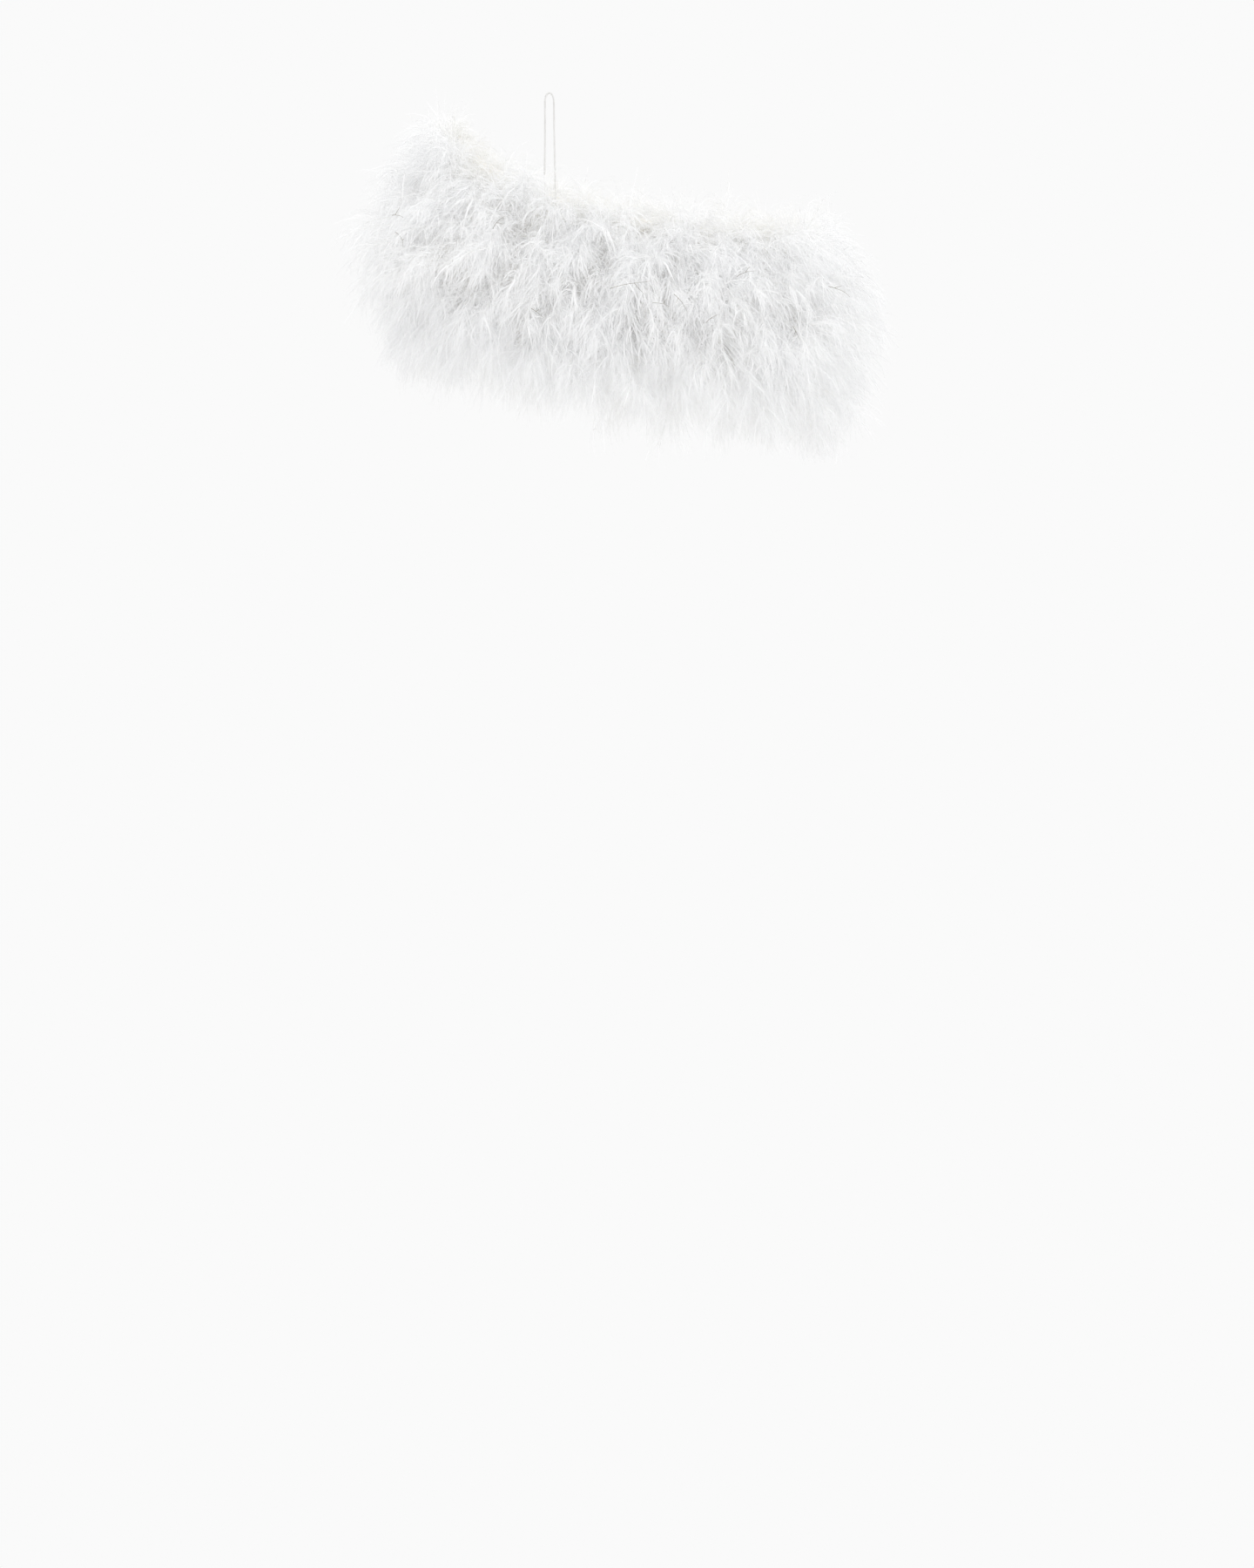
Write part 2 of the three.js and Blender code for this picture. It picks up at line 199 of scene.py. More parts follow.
# along a stitch: share of its length, height and radius in thread radii
STITCH_PROFILE = (
    (-0.5, -1.2, 0.5), (-0.42, -0.3, 0.85), (-0.15, 0.1, 1),
    (0.15, 0.1, 1), (0.42, -0.3, 0.85), (0.5, -1.2, 0.5),
)
ZIGZAG = 0.0022
ROPE_OUT = 0.0063
ROPE_STRAND = 0.0015
ROPE_LAY = 0.0016
ROPE_PITCH = 0.022
ROPE_STEP = 0.0022
ROPE_SIDES = 8
ROPE_STRANDS = 3
WHIPPING_SPAN = 0.07
WHIPPING_TURNS = 12
WHIPPING_STEPS = 16
WHIPPING_RADIUS = 0.0038
WHIPPING_THREAD = 0.0005
FACING_WIDTH = 0.024
FACING_ROWS = 60
FACING_COLUMNS = 13
FACING_CROWN = 0.0002
FACING_LEVELS = (0.2, 4.8)
FACING_SEAM = 0.003
FACING_SEAM_LEVELS = (0.28, 4.72)
LATHE_SIDES = 48
LOOP_STRAND = 0.00062
LOOP_LAY = 0.0006
LOOP_PITCH = 0.009
LOOP_POINTS = 360
LOOP_ROUTE = (
    (-0.107, -0.098, 0.0935),
    (-0.107, -0.098, 0.1),
    (-0.107, -0.098, 0.11),
    (-0.1069, -0.0979, 0.12),
    (-0.1067, -0.0978, 0.138),
    (-0.1064, -0.0976, 0.156),
    (-0.1061, -0.0974, 0.174),
    (-0.1059, -0.0972, 0.191),
    (-0.1057, -0.097, 0.209),
    (-0.1056, -0.0969, 0.225),
    (-0.1052, -0.0968, 0.234),
    (-0.1034, -0.0968, 0.2392),
    (-0.1, -0.0969, 0.2414),
    (-0.0966, -0.097, 0.2392),
    (-0.0948, -0.0971, 0.234),
    (-0.0944, -0.0972, 0.225),
    (-0.0943, -0.0976, 0.209),
    (-0.0941, -0.0981, 0.191),
    (-0.0939, -0.0986, 0.174),
    (-0.0936, -0.0991, 0.156),
    (-0.0933, -0.0997, 0.138),
    (-0.0931, -0.1002, 0.12),
    (-0.093, -0.1007, 0.11),
    (-0.093, -0.1008, 0.1),
    (-0.093, -0.1008, 0.0935),
)
TAB_OUT = (-0.005, -0.0027)
TAB_INSET = 0.003
TAB_WIDTH = 0.02
TAB_HEIGHT = 0.012
TAB_STITCH = 0.0018
TAB_STITCH_SHARE = 0.85
TAB_COLUMNS = 15
TAB_ROWS = 11
TAB_ROUNDING = 0.0004
# bare stems: angle round the opening and slope in degrees, level, distance out from the wall, length
STEMS = (
    (91, 2.3, 0.116, 18, 0.05),
    (76, 2.2, 0.118, -40, 0.028),
    (81, 2.6, 0.114, 5, 0.022),
    (152, 1.7, 0.1, 4, 0.034),
    (150, 2.1, 0.102, -25, 0.03),
    (32, 1.6, 0.104, -12, 0.036),
    (60, 1.4, 0.11, 35, 0.024),
    (110, 3.4, 0.112, -30, 0.02),
    (68, 3.1, 0.114, 50, 0.018),
    (120, 1.2, 0.104, 65, 0.022),
    (44, 3.0, 0.108, -55, 0.02),
)
STRAY_STEMS = 9
STRAY_RANGES = ((185, 350), (0.8, 4.2), (0.07, 0.085), (-60, 60), (0.02, 0.04))
STEM_SEED = 20
STEM_SEGMENTS = 8
STEM_DROOP = 0.5
STEM_SWAY = 0.25
STEM_RADIUS = 0.0004
STEM_TAPER = 0.6
STEM_OUTWARD = (0, 0.25)
STEM_FORKS = (20, 75)
STEM_FORK_LENGTHS = (0.2, 0.5)
STEM_FORK_POINTS = (2, 6)


def linear(value):
    """An sRGB grey or colour channel, from 0 to 1, as a linear one."""
    return value / 12.92 if value <= 0.04045 else ((value + 0.055) / 1.055) ** 2.4


def colour(red, green, blue):
    """A linear RGBA colour from sRGB channels from 0 to 255."""
    return (linear(red / 255), linear(green / 255), linear(blue / 255), 1)


# ---- camera ----
SENSOR_WIDTH = 36
LENS = 54.48
CAMERA_PLACE = (-0.0023, -3.2, 0.05)
CAMERA_DIP = 12.71


def make_camera():
    camera = bpy.data.objects.new("camera", bpy.data.cameras.new("camera"))
    bpy.context.scene.collection.objects.link(camera)
    camera.data.sensor_width = SENSOR_WIDTH
    camera.data.lens = LENS
    camera.location = CAMERA_PLACE
    camera.rotation_euler = (math.radians(90 - CAMERA_DIP), 0, 0)
    bpy.context.scene.camera = camera


# ---- materials ----
STRAND_TONES = ((0.3, (251, 251, 251.5)), (0.46, (254.4, 254.4, 254.5)), (0.7, (255, 255, 255)))
WEAVE_WAVE = {"Scale": 0.314, "Distortion": 0.6, "Detail Scale": 2}


def new_material(name, constants):
    """A material with a Principled shader that has these constants, and its tree and shader."""
    material = bpy.data.materials.new(name)
    material.use_nodes = True
    tree = material.node_tree
    shader = tree.nodes["Principled BSDF"]
    for socket, value in constants.items():
        shader.inputs[socket].default_value = value
    return material, tree, shader


def add_node(tree, kind, inputs=(), **settings):
    """A shader node with these settings, and values or links for its inputs by name or number."""
    node = tree.nodes.new(f"ShaderNode{kind}")
    for name, value in settings.items():
        setattr(node, name, value)
    for name, value in dict(inputs).items():
        if isinstance(value, bpy.types.NodeSocket):
            tree.links.new(value, node.inputs[name])
        else:
            node.inputs[name].default_value = value
    return node


def add_ramp(tree, factor, stops):
    """A colour ramp of (position, sRGB colour) stops."""
    ramp = add_node(tree, "ValToRGB", {"Fac": factor})
    while len(ramp.color_ramp.elements) < len(stops):
        ramp.color_ramp.elements.new(0.5)
    for element, (position, value) in zip(ramp.color_ramp.elements, stops):
        element.position = position
        element.color = colour(*value)
    return ramp.outputs["Color"]


def add_uv(tree, name):
    return add_node(tree, "UVMap", uv_map=name).outputs["UV"]


def add_threads(tree, along, across):
    """A sewn piece's coordinates, scaled along its length and across it."""
    settings = {"Vector": add_uv(tree, "weave"), "Scale": (along, across, 1)}
    return add_node(tree, "Mapping", settings).outputs[0]


def add_place(tree):
    """The object's own coordinates."""
    return add_node(tree, "TexCoord").outputs["Object"]


def add_noise(tree, place, scale, detail):
    noise = add_node(tree, "TexNoise", {"Vector": place, "Scale": scale, "Detail": detail})
    return noise.outputs["Fac"]


def add_math(tree, operation, first, second):
    return add_node(tree, "Math", {0: first, 1: second}, operation=operation).outputs[0]


def add_range(tree, factor, low, high, lowest=0):
    """A value that goes from low to high as a factor goes from its lowest to 1."""
    settings = {"Value": factor, "From Min": lowest, "To Min": low, "To Max": high}
    return add_node(tree, "MapRange", settings).outputs["Result"]


def set_colour(tree, shader, factor, *stops):
    """Base colour from a ramp."""
    tree.links.new(add_ramp(tree, factor, stops), shader.inputs["Base Color"])


def set_roughness(tree, shader, factor, low, high):
    """Roughness that goes from low to high with a factor."""
    tree.links.new(add_range(tree, factor, low, high), shader.inputs["Roughness"])


def add_bump(tree, shader, height, strength, distance):
    """Bump from a height, on the shader's normal."""
    bump = add_node(tree, "Bump", {"Height": height, "Strength": strength, "Distance": distance})
    tree.links.new(bump.outputs["Normal"], shader.inputs["Normal"])


def feather_material(name, root, tip):
    """Flues and down: a warm root, a cool tip, and each flue a little lighter or darker than the next."""
    material, tree, shader = new_material(name, {"Roughness": 0.62, "Specular IOR Level": 0.12})
    parts = add_node(tree, "SeparateXYZ", {"Vector": add_uv(tree, "OFBake")})
    length_tone = add_ramp(tree, parts.outputs["X"], ((0, root), (0.25, tip)))
    settings = {"W": parts.outputs["Y"], "Scale": 57, "Detail": 3}
    strand = add_node(tree, "TexNoise", settings, noise_dimensions="1D").outputs["Fac"]
    strand_tone = add_ramp(tree, strand, STRAND_TONES)
    # the Mix node has sockets for each data type, so the colour ones, 6 and 7, are linked by number
    settings = {0: 0.8, 6: length_tone, 7: strand_tone}
    mixed = add_node(tree, "Mix", settings, data_type="RGBA", blend_type="MULTIPLY")
    tree.links.new(mixed.outputs[2], shader.inputs["Base Color"])
    return material


def quill_material():
    """Quills: ivory horn, a little darker and yellower at the root."""
    material, tree, shader = new_material("ivory_quills", {"Roughness": 0.35})
    parts = add_node(tree, "SeparateXYZ", {"Vector": add_uv(tree, "OFBake")})
    tones = ((0, (246, 241, 228)), (0.4, (251, 249, 243)), (1, (253, 253, 251)))
    set_colour(tree, shader, parts.outputs["X"], *tones)
    return material


def weave_material(name, dark, light, threads, roughness, strength, sheen=0.0, ribs=1.0):
    """Woven cloth: warp and weft threads per metre, slubs in the colour, and soft cloudy wear."""
    material, tree, shader = new_material(name, {"Sheen Weight": sheen})
    settings = {"Vector": add_threads(tree, threads, threads * ribs), **WEAVE_WAVE}
    across = add_node(tree, "TexWave", settings, bands_direction="X")
    along = add_node(tree, "TexWave", settings, bands_direction="Y")
    crossing = add_math(tree, "MULTIPLY", across.outputs["Fac"], along.outputs["Fac"])
    place = add_place(tree)
    slubs = add_noise(tree, place, 900, 3)
    clouds = add_noise(tree, place, 35, 2)
    tone = add_math(tree, "ADD", add_math(tree, "ADD", slubs, clouds), crossing)
    set_colour(tree, shader, add_math(tree, "MULTIPLY", tone, 0.5), (0.35, dark), (0.85, light))
    set_roughness(tree, shader, clouds, roughness - 0.08, roughness + 0.08)
    add_bump(tree, shader, crossing, strength, 0.0003)
    return material


def strand_material(name, dark, light, roughness, fibres):
    """Twisted fibre: fine streaks along the strand, and slow changes of tone in it."""
    material, tree, shader = new_material(name, {})
    streaks = add_noise(tree, add_threads(tree, 150, fibres), 1, 4)
    clouds = add_noise(tree, add_place(tree), 60, 2)
    tone = add_math(tree, "MULTIPLY", streaks, clouds)
    set_colour(tree, shader, tone, (0.1, dark), (0.45, light))
    set_roughness(tree, shader, streaks, roughness - 0.1, roughness + 0.1)
    add_bump(tree, shader, streaks, 0.5, 0.0002)
    return material


def metal_material():
    """Nickel-plated fasteners: a turned grain, with duller worn patches."""
    material, tree, shader = new_material("plated_metal", {"Metallic": 1})
    place = add_place(tree)
    grain = add_noise(tree, place, 2500, 2)
    wear = add_noise(tree, place, 320, 4)
    tones = ((0.3, (168, 166, 160)), (0.5, (205, 205, 202)), (0.8, (222, 222, 222)))
    set_colour(tree, shader, wear, *tones)
    set_roughness(tree, shader, wear, 0.42, 0.2)
    add_bump(tree, shader, grain, 0.15, 0.0001)
    return material


def stem_material():
    """Bare quill stems: grey-brown horn with a streaked grain."""
    material, tree, shader = new_material("bare_stem", {"Roughness": 0.4})
    grain = add_noise(tree, add_threads(tree, 90, 900), 1, 3)
    tones = ((0.3, (146, 141, 131)), (0.55, (172, 168, 159)), (0.8, (200, 197, 189)))
    set_colour(tree, shader, grain, *tones)
    return material


def make_materials():
    """The materials of everything but the feathers."""
    lining = ((246, 243, 236), (253, 252, 248), 2600, 0.38, 0.15, 0.3, 0.35)
    binding = ((242, 238, 229), (252, 250, 244), 900, 0.5, 0.7, 0.2, 0.25)
    elastic = ((240, 238, 232), (252, 250, 246), 650, 0.6, 0.8, 0.05, 3)
    return {
        "band": weave_material("cotton_band", (246, 243, 237), (253, 252, 249), 1100, 0.8, 0.6, 0.1),
        "lining": weave_material("satin_lining", *lining),
        "binding": weave_material("ribbed_binding", *binding),
        "elastic": weave_material("knitted_elastic", *elastic),
        "thread": strand_material("sewing_thread", (232, 227, 216), (252, 250, 245), 0.55, 9000),
        "cord": strand_material("cotton_cord", (240, 236, 226), (252, 250, 245), 0.85, 5000),
        "loop": strand_material("satin_loop_cord", (229, 228, 226), (248, 248, 247), 0.42, 7000),
        "metal": metal_material(),
        "stem": stem_material(),
    }


# ---- the wall in numbers ----
def edge_heights(angle):
    """The band's top and bottom heights at each angle."""
    across = (1 - np.cos(angle)) / 2
    top = LOW_SIDE_TOP + HIGH_SIDE_RISE * across**HIGH_SIDE_POWER
    top = top + BACK_EXTRA_RISE * np.maximum(0, -np.sin(angle))
    return top, LOW_SIDE_BOTTOM + HIGH_SIDE_BOTTOM_RISE * across


def lean_at(height):
    """How far the wall leans in over the shoulder at each height."""
    return SHOULDER_LEAN * (np.maximum(0, height - SHOULDER_START) / SHOULDER_HEIGHT) ** 2


def outward_at(angle):
    """The wall's outward direction at each angle."""
    across = OPENING_HALF_DEPTH * np.cos(angle)
    along = -OPENING_HALF_WIDTH * np.sin(angle)
    size = np.hypot(across, along)
    return np.stack([across / size, along / size, np.zeros_like(size)], axis=-1)


def wall_points(angle, out, level):
    """Points at each angle, out from the wall, at a level from 0 (top) to ROWS (bottom)."""
    top, bottom = edge_heights(angle)
    height = top + (bottom - top) * level / ROWS
    base = np.stack(
        [
            OPENING_CENTRE_X + OPENING_HALF_WIDTH * np.cos(angle),
            -OPENING_HALF_DEPTH * np.sin(angle),
            height,
        ],
        axis=-1,
    )
    return base + outward_at(angle) * (out - lean_at(height))[..., None]


def reached_along(line):
    """How far along a line each of its points is."""
    return np.cumsum(np.linalg.norm(np.diff(line, axis=0, prepend=line[:1]), axis=1))


def even_angles(count, out):
    """Angles that are evenly spaced along the wall's length, a distance out from it."""
    fine = np.linspace(0, 2 * math.pi, TURN_STEPS + 1)
    line = wall_points(fine, np.full_like(fine, out), np.full_like(fine, ROWS / 2))
    reached = reached_along(line[:, :2])
    return np.interp((np.arange(count) + 0.5) / count * reached[-1], reached, fine)


def round_the_wall(points):
    """Where points are beside the wall: their share of its way out from the middle, that way, and its top."""
    x = (points[..., 0] - OPENING_CENTRE_X) / OPENING_HALF_WIDTH
    y = points[..., 1] / OPENING_HALF_DEPTH
    angle = np.arctan2(-y, x)
    span = np.hypot(OPENING_HALF_WIDTH * np.cos(angle), OPENING_HALF_DEPTH * np.sin(angle))
    return np.maximum(np.hypot(x, y), TINY), span, edge_heights(angle)[0]


def push_out(points, push):
    """Points moved out from the opening's middle by a factor each."""
    moved = points.copy()
    moved[..., 0] = OPENING_CENTRE_X + (points[..., 0] - OPENING_CENTRE_X) * push
    moved[..., 1] = points[..., 1] * push
    return moved


def clear_of_body(points):
    """Points moved out of the wearer's opening, apart from fluff that leans over the top edge."""
    share, span, top = round_the_wall(points)
    height = points[..., 2]
    overhang = lean_at(np.minimum(height, top)) + FLUFF_LEAN * np.maximum(0, height - top) - 2 * BAND_FACE
    moved = push_out(points, np.maximum(1, (1 - overhang / span) / share))
    over = np.maximum(0, LOWEST_TIP + TIP_MARGIN - height)
    moved[..., 2] = height + over - TIP_MARGIN * np.tanh(over / TIP_MARGIN)
    return moved


def over_the_edge(points):
    """Points of fluff on the top edge, which may hang down inside it, clear of what lines the band."""
    share, span, top = round_the_wall(points)
    height = points[..., 2]
    lean = lean_at(np.minimum(height, top))
    out = (share - 1) * span + lean
    below = height < top + CREST_CLEARANCE
    inside = below & (out < 0) & (out > -LINING_CLEARANCE)
    outside = below & (out >= 0) & (out < CREST_CLEARANCE)
    kept = np.where(inside, -LINING_CLEARANCE, np.where(outside, CREST_CLEARANCE, out))
    return push_out(points, (1 + (kept - lean) / span) / share)


# ---- growing feathers ----
def unit(vectors):
    return vectors / np.maximum(np.linalg.norm(vectors, axis=-1, keepdims=True), LEAST_LENGTH)


tangle_draws = np.random.default_rng(SEED)
TANGLE_HEADINGS = unit(tangle_draws.normal(size=(TANGLE_WAVE_COUNT, 3)))
TANGLE_WAVES = TANGLE_HEADINGS * tangle_draws.uniform(*TANGLE_WAVE_RANGE, size=(TANGLE_WAVE_COUNT, 1))
TANGLE_PHASES = tangle_draws.uniform(0, 2 * math.pi, TANGLE_WAVE_COUNT)
TANGLE_PULLS = unit(tangle_draws.normal(size=(TANGLE_WAVE_COUNT, 3)))


def tangle(points):
    """A direction that changes slowly from place to place, so that neighbouring flues clump and part."""
    return np.sin(points @ TANGLE_WAVES.T + TANGLE_PHASES) @ TANGLE_PULLS


def grow(start, heading, length, segments, droop, sway, tidy):
    """Curves from each start along its heading, that droop and sway and are kept tidy: (curve, point, 3)."""
    points = [start]
    direction = unit(heading)
    step = length[:, None] / segments
    for _ in range(segments):
        points.append(tidy(points[-1] + direction * step))
        pull = sway * tangle(points[-1])
        pull[:, 2] -= droop
        direction = unit(direction + pull / segments)
    return np.stack(points, axis=1)


def along_curves(curves, share):
    """The points and directions of curves at shares from 0 to 1, an array of (curve, share)."""
    segments = curves.shape[1] - 1
    place = np.clip(share * segments, 0, segments - TINY)
    before = place.astype(int)
    rest = (place - before)[..., None]
    index = np.arange(len(curves))[:, None]
    near, far = curves[index, before], curves[index, before + 1]
    return near + (far - near) * rest, unit(far - near)


class MeshParts:
    """Corners, faces and UVs gathered from many small pieces into one mesh."""

    def __init__(self):
        self.corners, self.uvs, self.groups = [], [], []
        self.count = 0

    def add(self, corners, uvs, faces, slot=0):
        """Adds an array of corners (n, 3), their UVs (n, 2) and faces (m, 3 or 4)."""
        self.corners.append(corners)
        self.uvs.append(uvs)
        self.groups.append((faces + self.count, slot))
        self.count += len(corners)

    def build(self, name, materials, uv_name="OFBake"):
        """The mesh as an object, triangles before quads."""
        corners = np.concatenate(self.corners).astype(np.float32)
        uvs = np.concatenate(self.uvs).astype(np.float32)
        groups = sorted(self.groups, key=lambda group: group[0].shape[1])
        sizes = np.concatenate([np.full(len(faces), faces.shape[1]) for faces, _ in groups])
        slots = np.concatenate([np.full(len(faces), slot) for faces, slot in groups])
        loops = np.concatenate([faces.ravel() for faces, _ in groups])
        mesh = bpy.data.meshes.new(name)
        mesh.vertices.add(len(corners))
        mesh.vertices.foreach_set("co", corners.ravel())
        mesh.loops.add(len(loops))
        mesh.loops.foreach_set("vertex_index", loops.astype(np.int32))
        mesh.polygons.add(len(sizes))
        mesh.polygons.foreach_set("loop_start", (np.cumsum(sizes) - sizes).astype(np.int32))
        mesh.polygons.foreach_set("material_index", slots.astype(np.int32))
        mesh.polygons.foreach_set("use_smooth", np.ones(len(sizes), bool))
        mesh.uv_layers.new(name=uv_name).data.foreach_set("uv", uvs[loops].ravel())
        mesh.update(calc_edges=True)
        for material in materials:
            mesh.materials.append(material)
        piece = bpy.data.objects.new(name, mesh)
        bpy.context.scene.collection.objects.link(piece)
        return piece


def strip_faces(curves, points):
    """The quads of ribbons that have two corners at each point."""
    first = 2 * (np.arange(curves)[:, None] * points + np.arange(points - 1)).ravel()
    return np.stack([first, first + 1, first + 3, first + 2], axis=1)


def add_ribbons(parts, curves, width, side, tone, slot):
    """Flat tapering ribbons along curves, with a width each, a side direction each and a tone each."""
    count, points, _ = curves.shape
    tangents = unit(np.gradient(curves, axis=1))
    across = unit(np.cross(tangents, side[:, None, :]))
    share = np.linspace(0, 1, points)
    taper = 1 - FLUE_TAPER * share**2
    offset = across * (width[:, None] * taper / 2)[..., None]
    corners = np.stack([curves - offset, curves + offset], axis=2).reshape(-1, 3)
    u = np.broadcast_to(share[None, :, None], (count, points, 2))
    v = np.broadcast_to(tone[:, None, None], (count, points, 2)) + np.array([0, TONE_WIDTH])
    uvs = np.stack([u, v], axis=-1).reshape(-1, 2)
    parts.add(corners, uvs, strip_faces(count, points), slot)


def spaced(draws, count, each, start):
    """Shares from a start to 1 for each of some quills or flues, one drawn in each even step."""
    return start + (1 - start) * (np.arange(each) + draws.uniform(0, 1, (count, each))) / each


def add_hairs(parts, draws, curves, tone, slot):
    """Fine hairs of down along the flues, one thin triangle each."""
    share = spaced(draws, len(curves), HAIRS_PER_FLUE, 0)
    base, tangent = along_curves(curves, HAIRS_START + (1 - HAIRS_START) * share)
    sideways = unit(np.cross(tangent, draws.normal(size=tangent.shape)))
    lean = draws.uniform(*HAIR_LEANS, share.shape)[..., None]
    heading = unit(tangent * lean + sideways)
    heading[..., 2] -= HAIR_DROOP
    length = HAIR_LENGTH * draws.uniform(*HAIR_LENGTHS, share.shape) * (1 - HAIR_TAPER * share)
    half = tangent * HAIR_WIDTH / 2
    tip = base + heading * length[..., None]
    corners = np.stack([base - half, base + half, tip], axis=2).reshape(-1, 3)
    u = np.stack([share, share, np.minimum(1, share + HAIR_TONE_STEP)], axis=-1)
    v = np.broadcast_to(tone[:, None, None], u.shape) + np.array([0, TONE_WIDTH, TONE_WIDTH / 2])
    uvs = np.stack([u, v], axis=-1).reshape(-1, 2)
    parts.add(corners, uvs, np.arange(len(corners)).reshape(-1, 3), slot)


def grow_flues(draws, quills, flues_each, flue_length, spread_range, tidy):
    """Flues on both sides of each quill: curves of (flue, point, 3), and each flue's quill."""
    count = len(quills)
    share = spaced(draws, count, flues_each, FLUES_START)
    start, tangent = along_curves(quills, share)
    flat = unit(np.cross(tangent, unit(draws.normal(size=(count, 3)))[:, None, :]))
    side = np.where(np.arange(flues_each) % 2, 1, -1)[None, :, None]
    spread = draws.uniform(*spread_range, share.shape) * (SPREAD_AT_ROOT - SPREAD_LOSS * share)
    heading = tangent + flat * side * spread[..., None] + draws.normal(0, FLUE_SCATTER, tangent.shape)
    bulge = 1 - FLUE_BULGE + FLUE_BULGE * np.sin(math.pi * share)
    length = flue_length * draws.uniform(*FLUE_LENGTHS, share.shape) * bulge
    start, heading = start.reshape(-1, 3), heading.reshape(-1, 3)
    flues = grow(start, heading, length.ravel(), FLUE_SEGMENTS, FLUE_DROOP, FLUE_SWAY, tidy)
    return flues, np.repeat(np.arange(count), flues_each)


def level_across(outward):
    """The level direction across each outward one."""
    return np.stack([-outward[:, 1], outward[:, 0], np.zeros(len(outward))], axis=1)


def grow_quills(draws, count, levels, rises, length, splay, trim, tidy):
    """Quills rooted all round the wall that rise and spread: curves of (quill, point, 3)."""
    angle = even_angles(count, QUILL_SPACING_OUT) + draws.normal(0, QUILL_SPACING_SCATTER, count)
    root = wall_points(angle, np.full(count, CORE_OUT), draws.uniform(*levels, count))
    outward = outward_at(angle)
    rise = np.radians(draws.uniform(*rises, count))[:, None]
    sideways = level_across(outward) * draws.normal(0, splay, count)[:, None]
    heading = outward * np.cos(rise) + sideways + UP * np.sin(rise)
    length = length * draws.uniform(*QUILL_LENGTHS, count)
    length = length * (1 - trim * ((1 - np.cos(angle)) / 2) ** HIGH_SIDE_TRIM_POWER)
    return grow(root, heading, length, QUILL_SEGMENTS, QUILL_DROOP, QUILL_SWAY, tidy)


def grow_set(draws, quill_settings, flue_settings, tidy, slot):
    """Quills and their flues, as (quills, flues, each flue's quill, material slot)."""
    quills = grow_quills(draws, *quill_settings, tidy)
    return quills, *grow_flues(draws, quills, *flue_settings, tidy), slot


def grow_row(row):
    """One row's plumes, the down under them and any edge plumes, as sets for each kind of piece."""
    draws = np.random.default_rng(SEED + 1 + row)
    length, *rises = QUILLS[row]
    levels = (row + ROW_EDGE, row + 1 - ROW_EDGE)
    trim = HIGH_SIDE_TRIMS[row]
    plumes = (PLUMES_PER_ROW, levels, rises, length, QUILL_SPLAY, trim)
    down = (DOWN_PER_ROW, levels, DOWN_RISE, DOWN_REACH, DOWN_SPLAY, trim)
    plume_flues = (FLUES_PER_PLUME, FLUE_LENGTH, FLUE_SPREAD)
    down_flues = (FLUES_PER_DOWN, DOWN_LENGTH, DOWN_SPREAD)
    sets = {"feathers": [grow_set(draws, plumes, plume_flues, clear_of_body, WHITE_SLOT)]}
    sets["feathers"].append(grow_set(draws, down, down_flues, clear_of_body, WHITE_SLOT))
    if row == 0:
        crest = (CREST_PLUMES, CREST_LEVELS, CREST_RISE, CREST_REACH, CREST_SPLAY, 0)
        crest_flues = (FLUES_PER_CREST, CREST_LENGTH, FLUE_SPREAD)
        # the edge plumes get the crest flues, tinted slightly darker and warmer as painted shade
        sets["edge_plumes"] = [grow_set(draws, crest, crest_flues, over_the_edge, CREST_SHADE_SLOT)]
    return draws, sets


def part_of(points):
    """Which part of the boa each root belongs to."""
    is_side = points[:, 0] > SIDE_START_X
    return np.where(is_side, "side", np.where(points[:, 1] < 0, "front", "back"))


def settle(piece, part, node=None):
    """Hangs a piece on its half and hides its CAD node, or, at the low side, bakes its placing into its mesh.
    """
    if not PARTS[part]:
        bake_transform(piece)
        return
    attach(piece, PARTS[part])
    if node:
        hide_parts(node)


def tube_shape(lines, radius, first, second, sides):
    """Corners and faces of round tubes along lines, with a radius and two directions across at each point."""
    count, points, _ = lines.shape
    turn = 2 * math.pi * np.arange(sides) / sides
    ring = first[:, :, None] * np.cos(turn)[:, None] + second[:, :, None] * np.sin(turn)[:, None]
    corners = (lines[:, :, None] + ring * radius[None, :, None, None]).reshape(-1, 3)
    start = sides * (np.arange(count)[:, None, None] * points + np.arange(points - 1)[:, None])
    here, after = start + np.arange(sides), start + (np.arange(sides) + 1) % sides
    return corners, np.stack([here, after, after + sides, here + sides], axis=-1).reshape(-1, 4)


def across_lines(lines):
    """Two directions across each line at each of its points."""
    tangents = unit(np.gradient(lines, axis=1))
    first = unit(np.cross(tangents, NEARLY_UP))
    return first, np.cross(tangents, first)


def add_quills(parts, quills):
    """Round tapering quills."""
    count, points, _ = quills.shape
    share = np.linspace(0, 1, points)
    radius = QUILL_RADIUS * (1 - QUILL_TAPER * share)
    corners, walls = tube_shape(quills, radius, *across_lines(quills), QUILL_SIDES)
    u = np.broadcast_to(share[None, :, None], (count, points, QUILL_SIDES)).ravel()
    v = np.repeat((np.arange(count) + 0.5) / count, points * QUILL_SIDES)
    parts.add(corners, np.stack([u, v], axis=-1), walls, QUILL_SLOT)


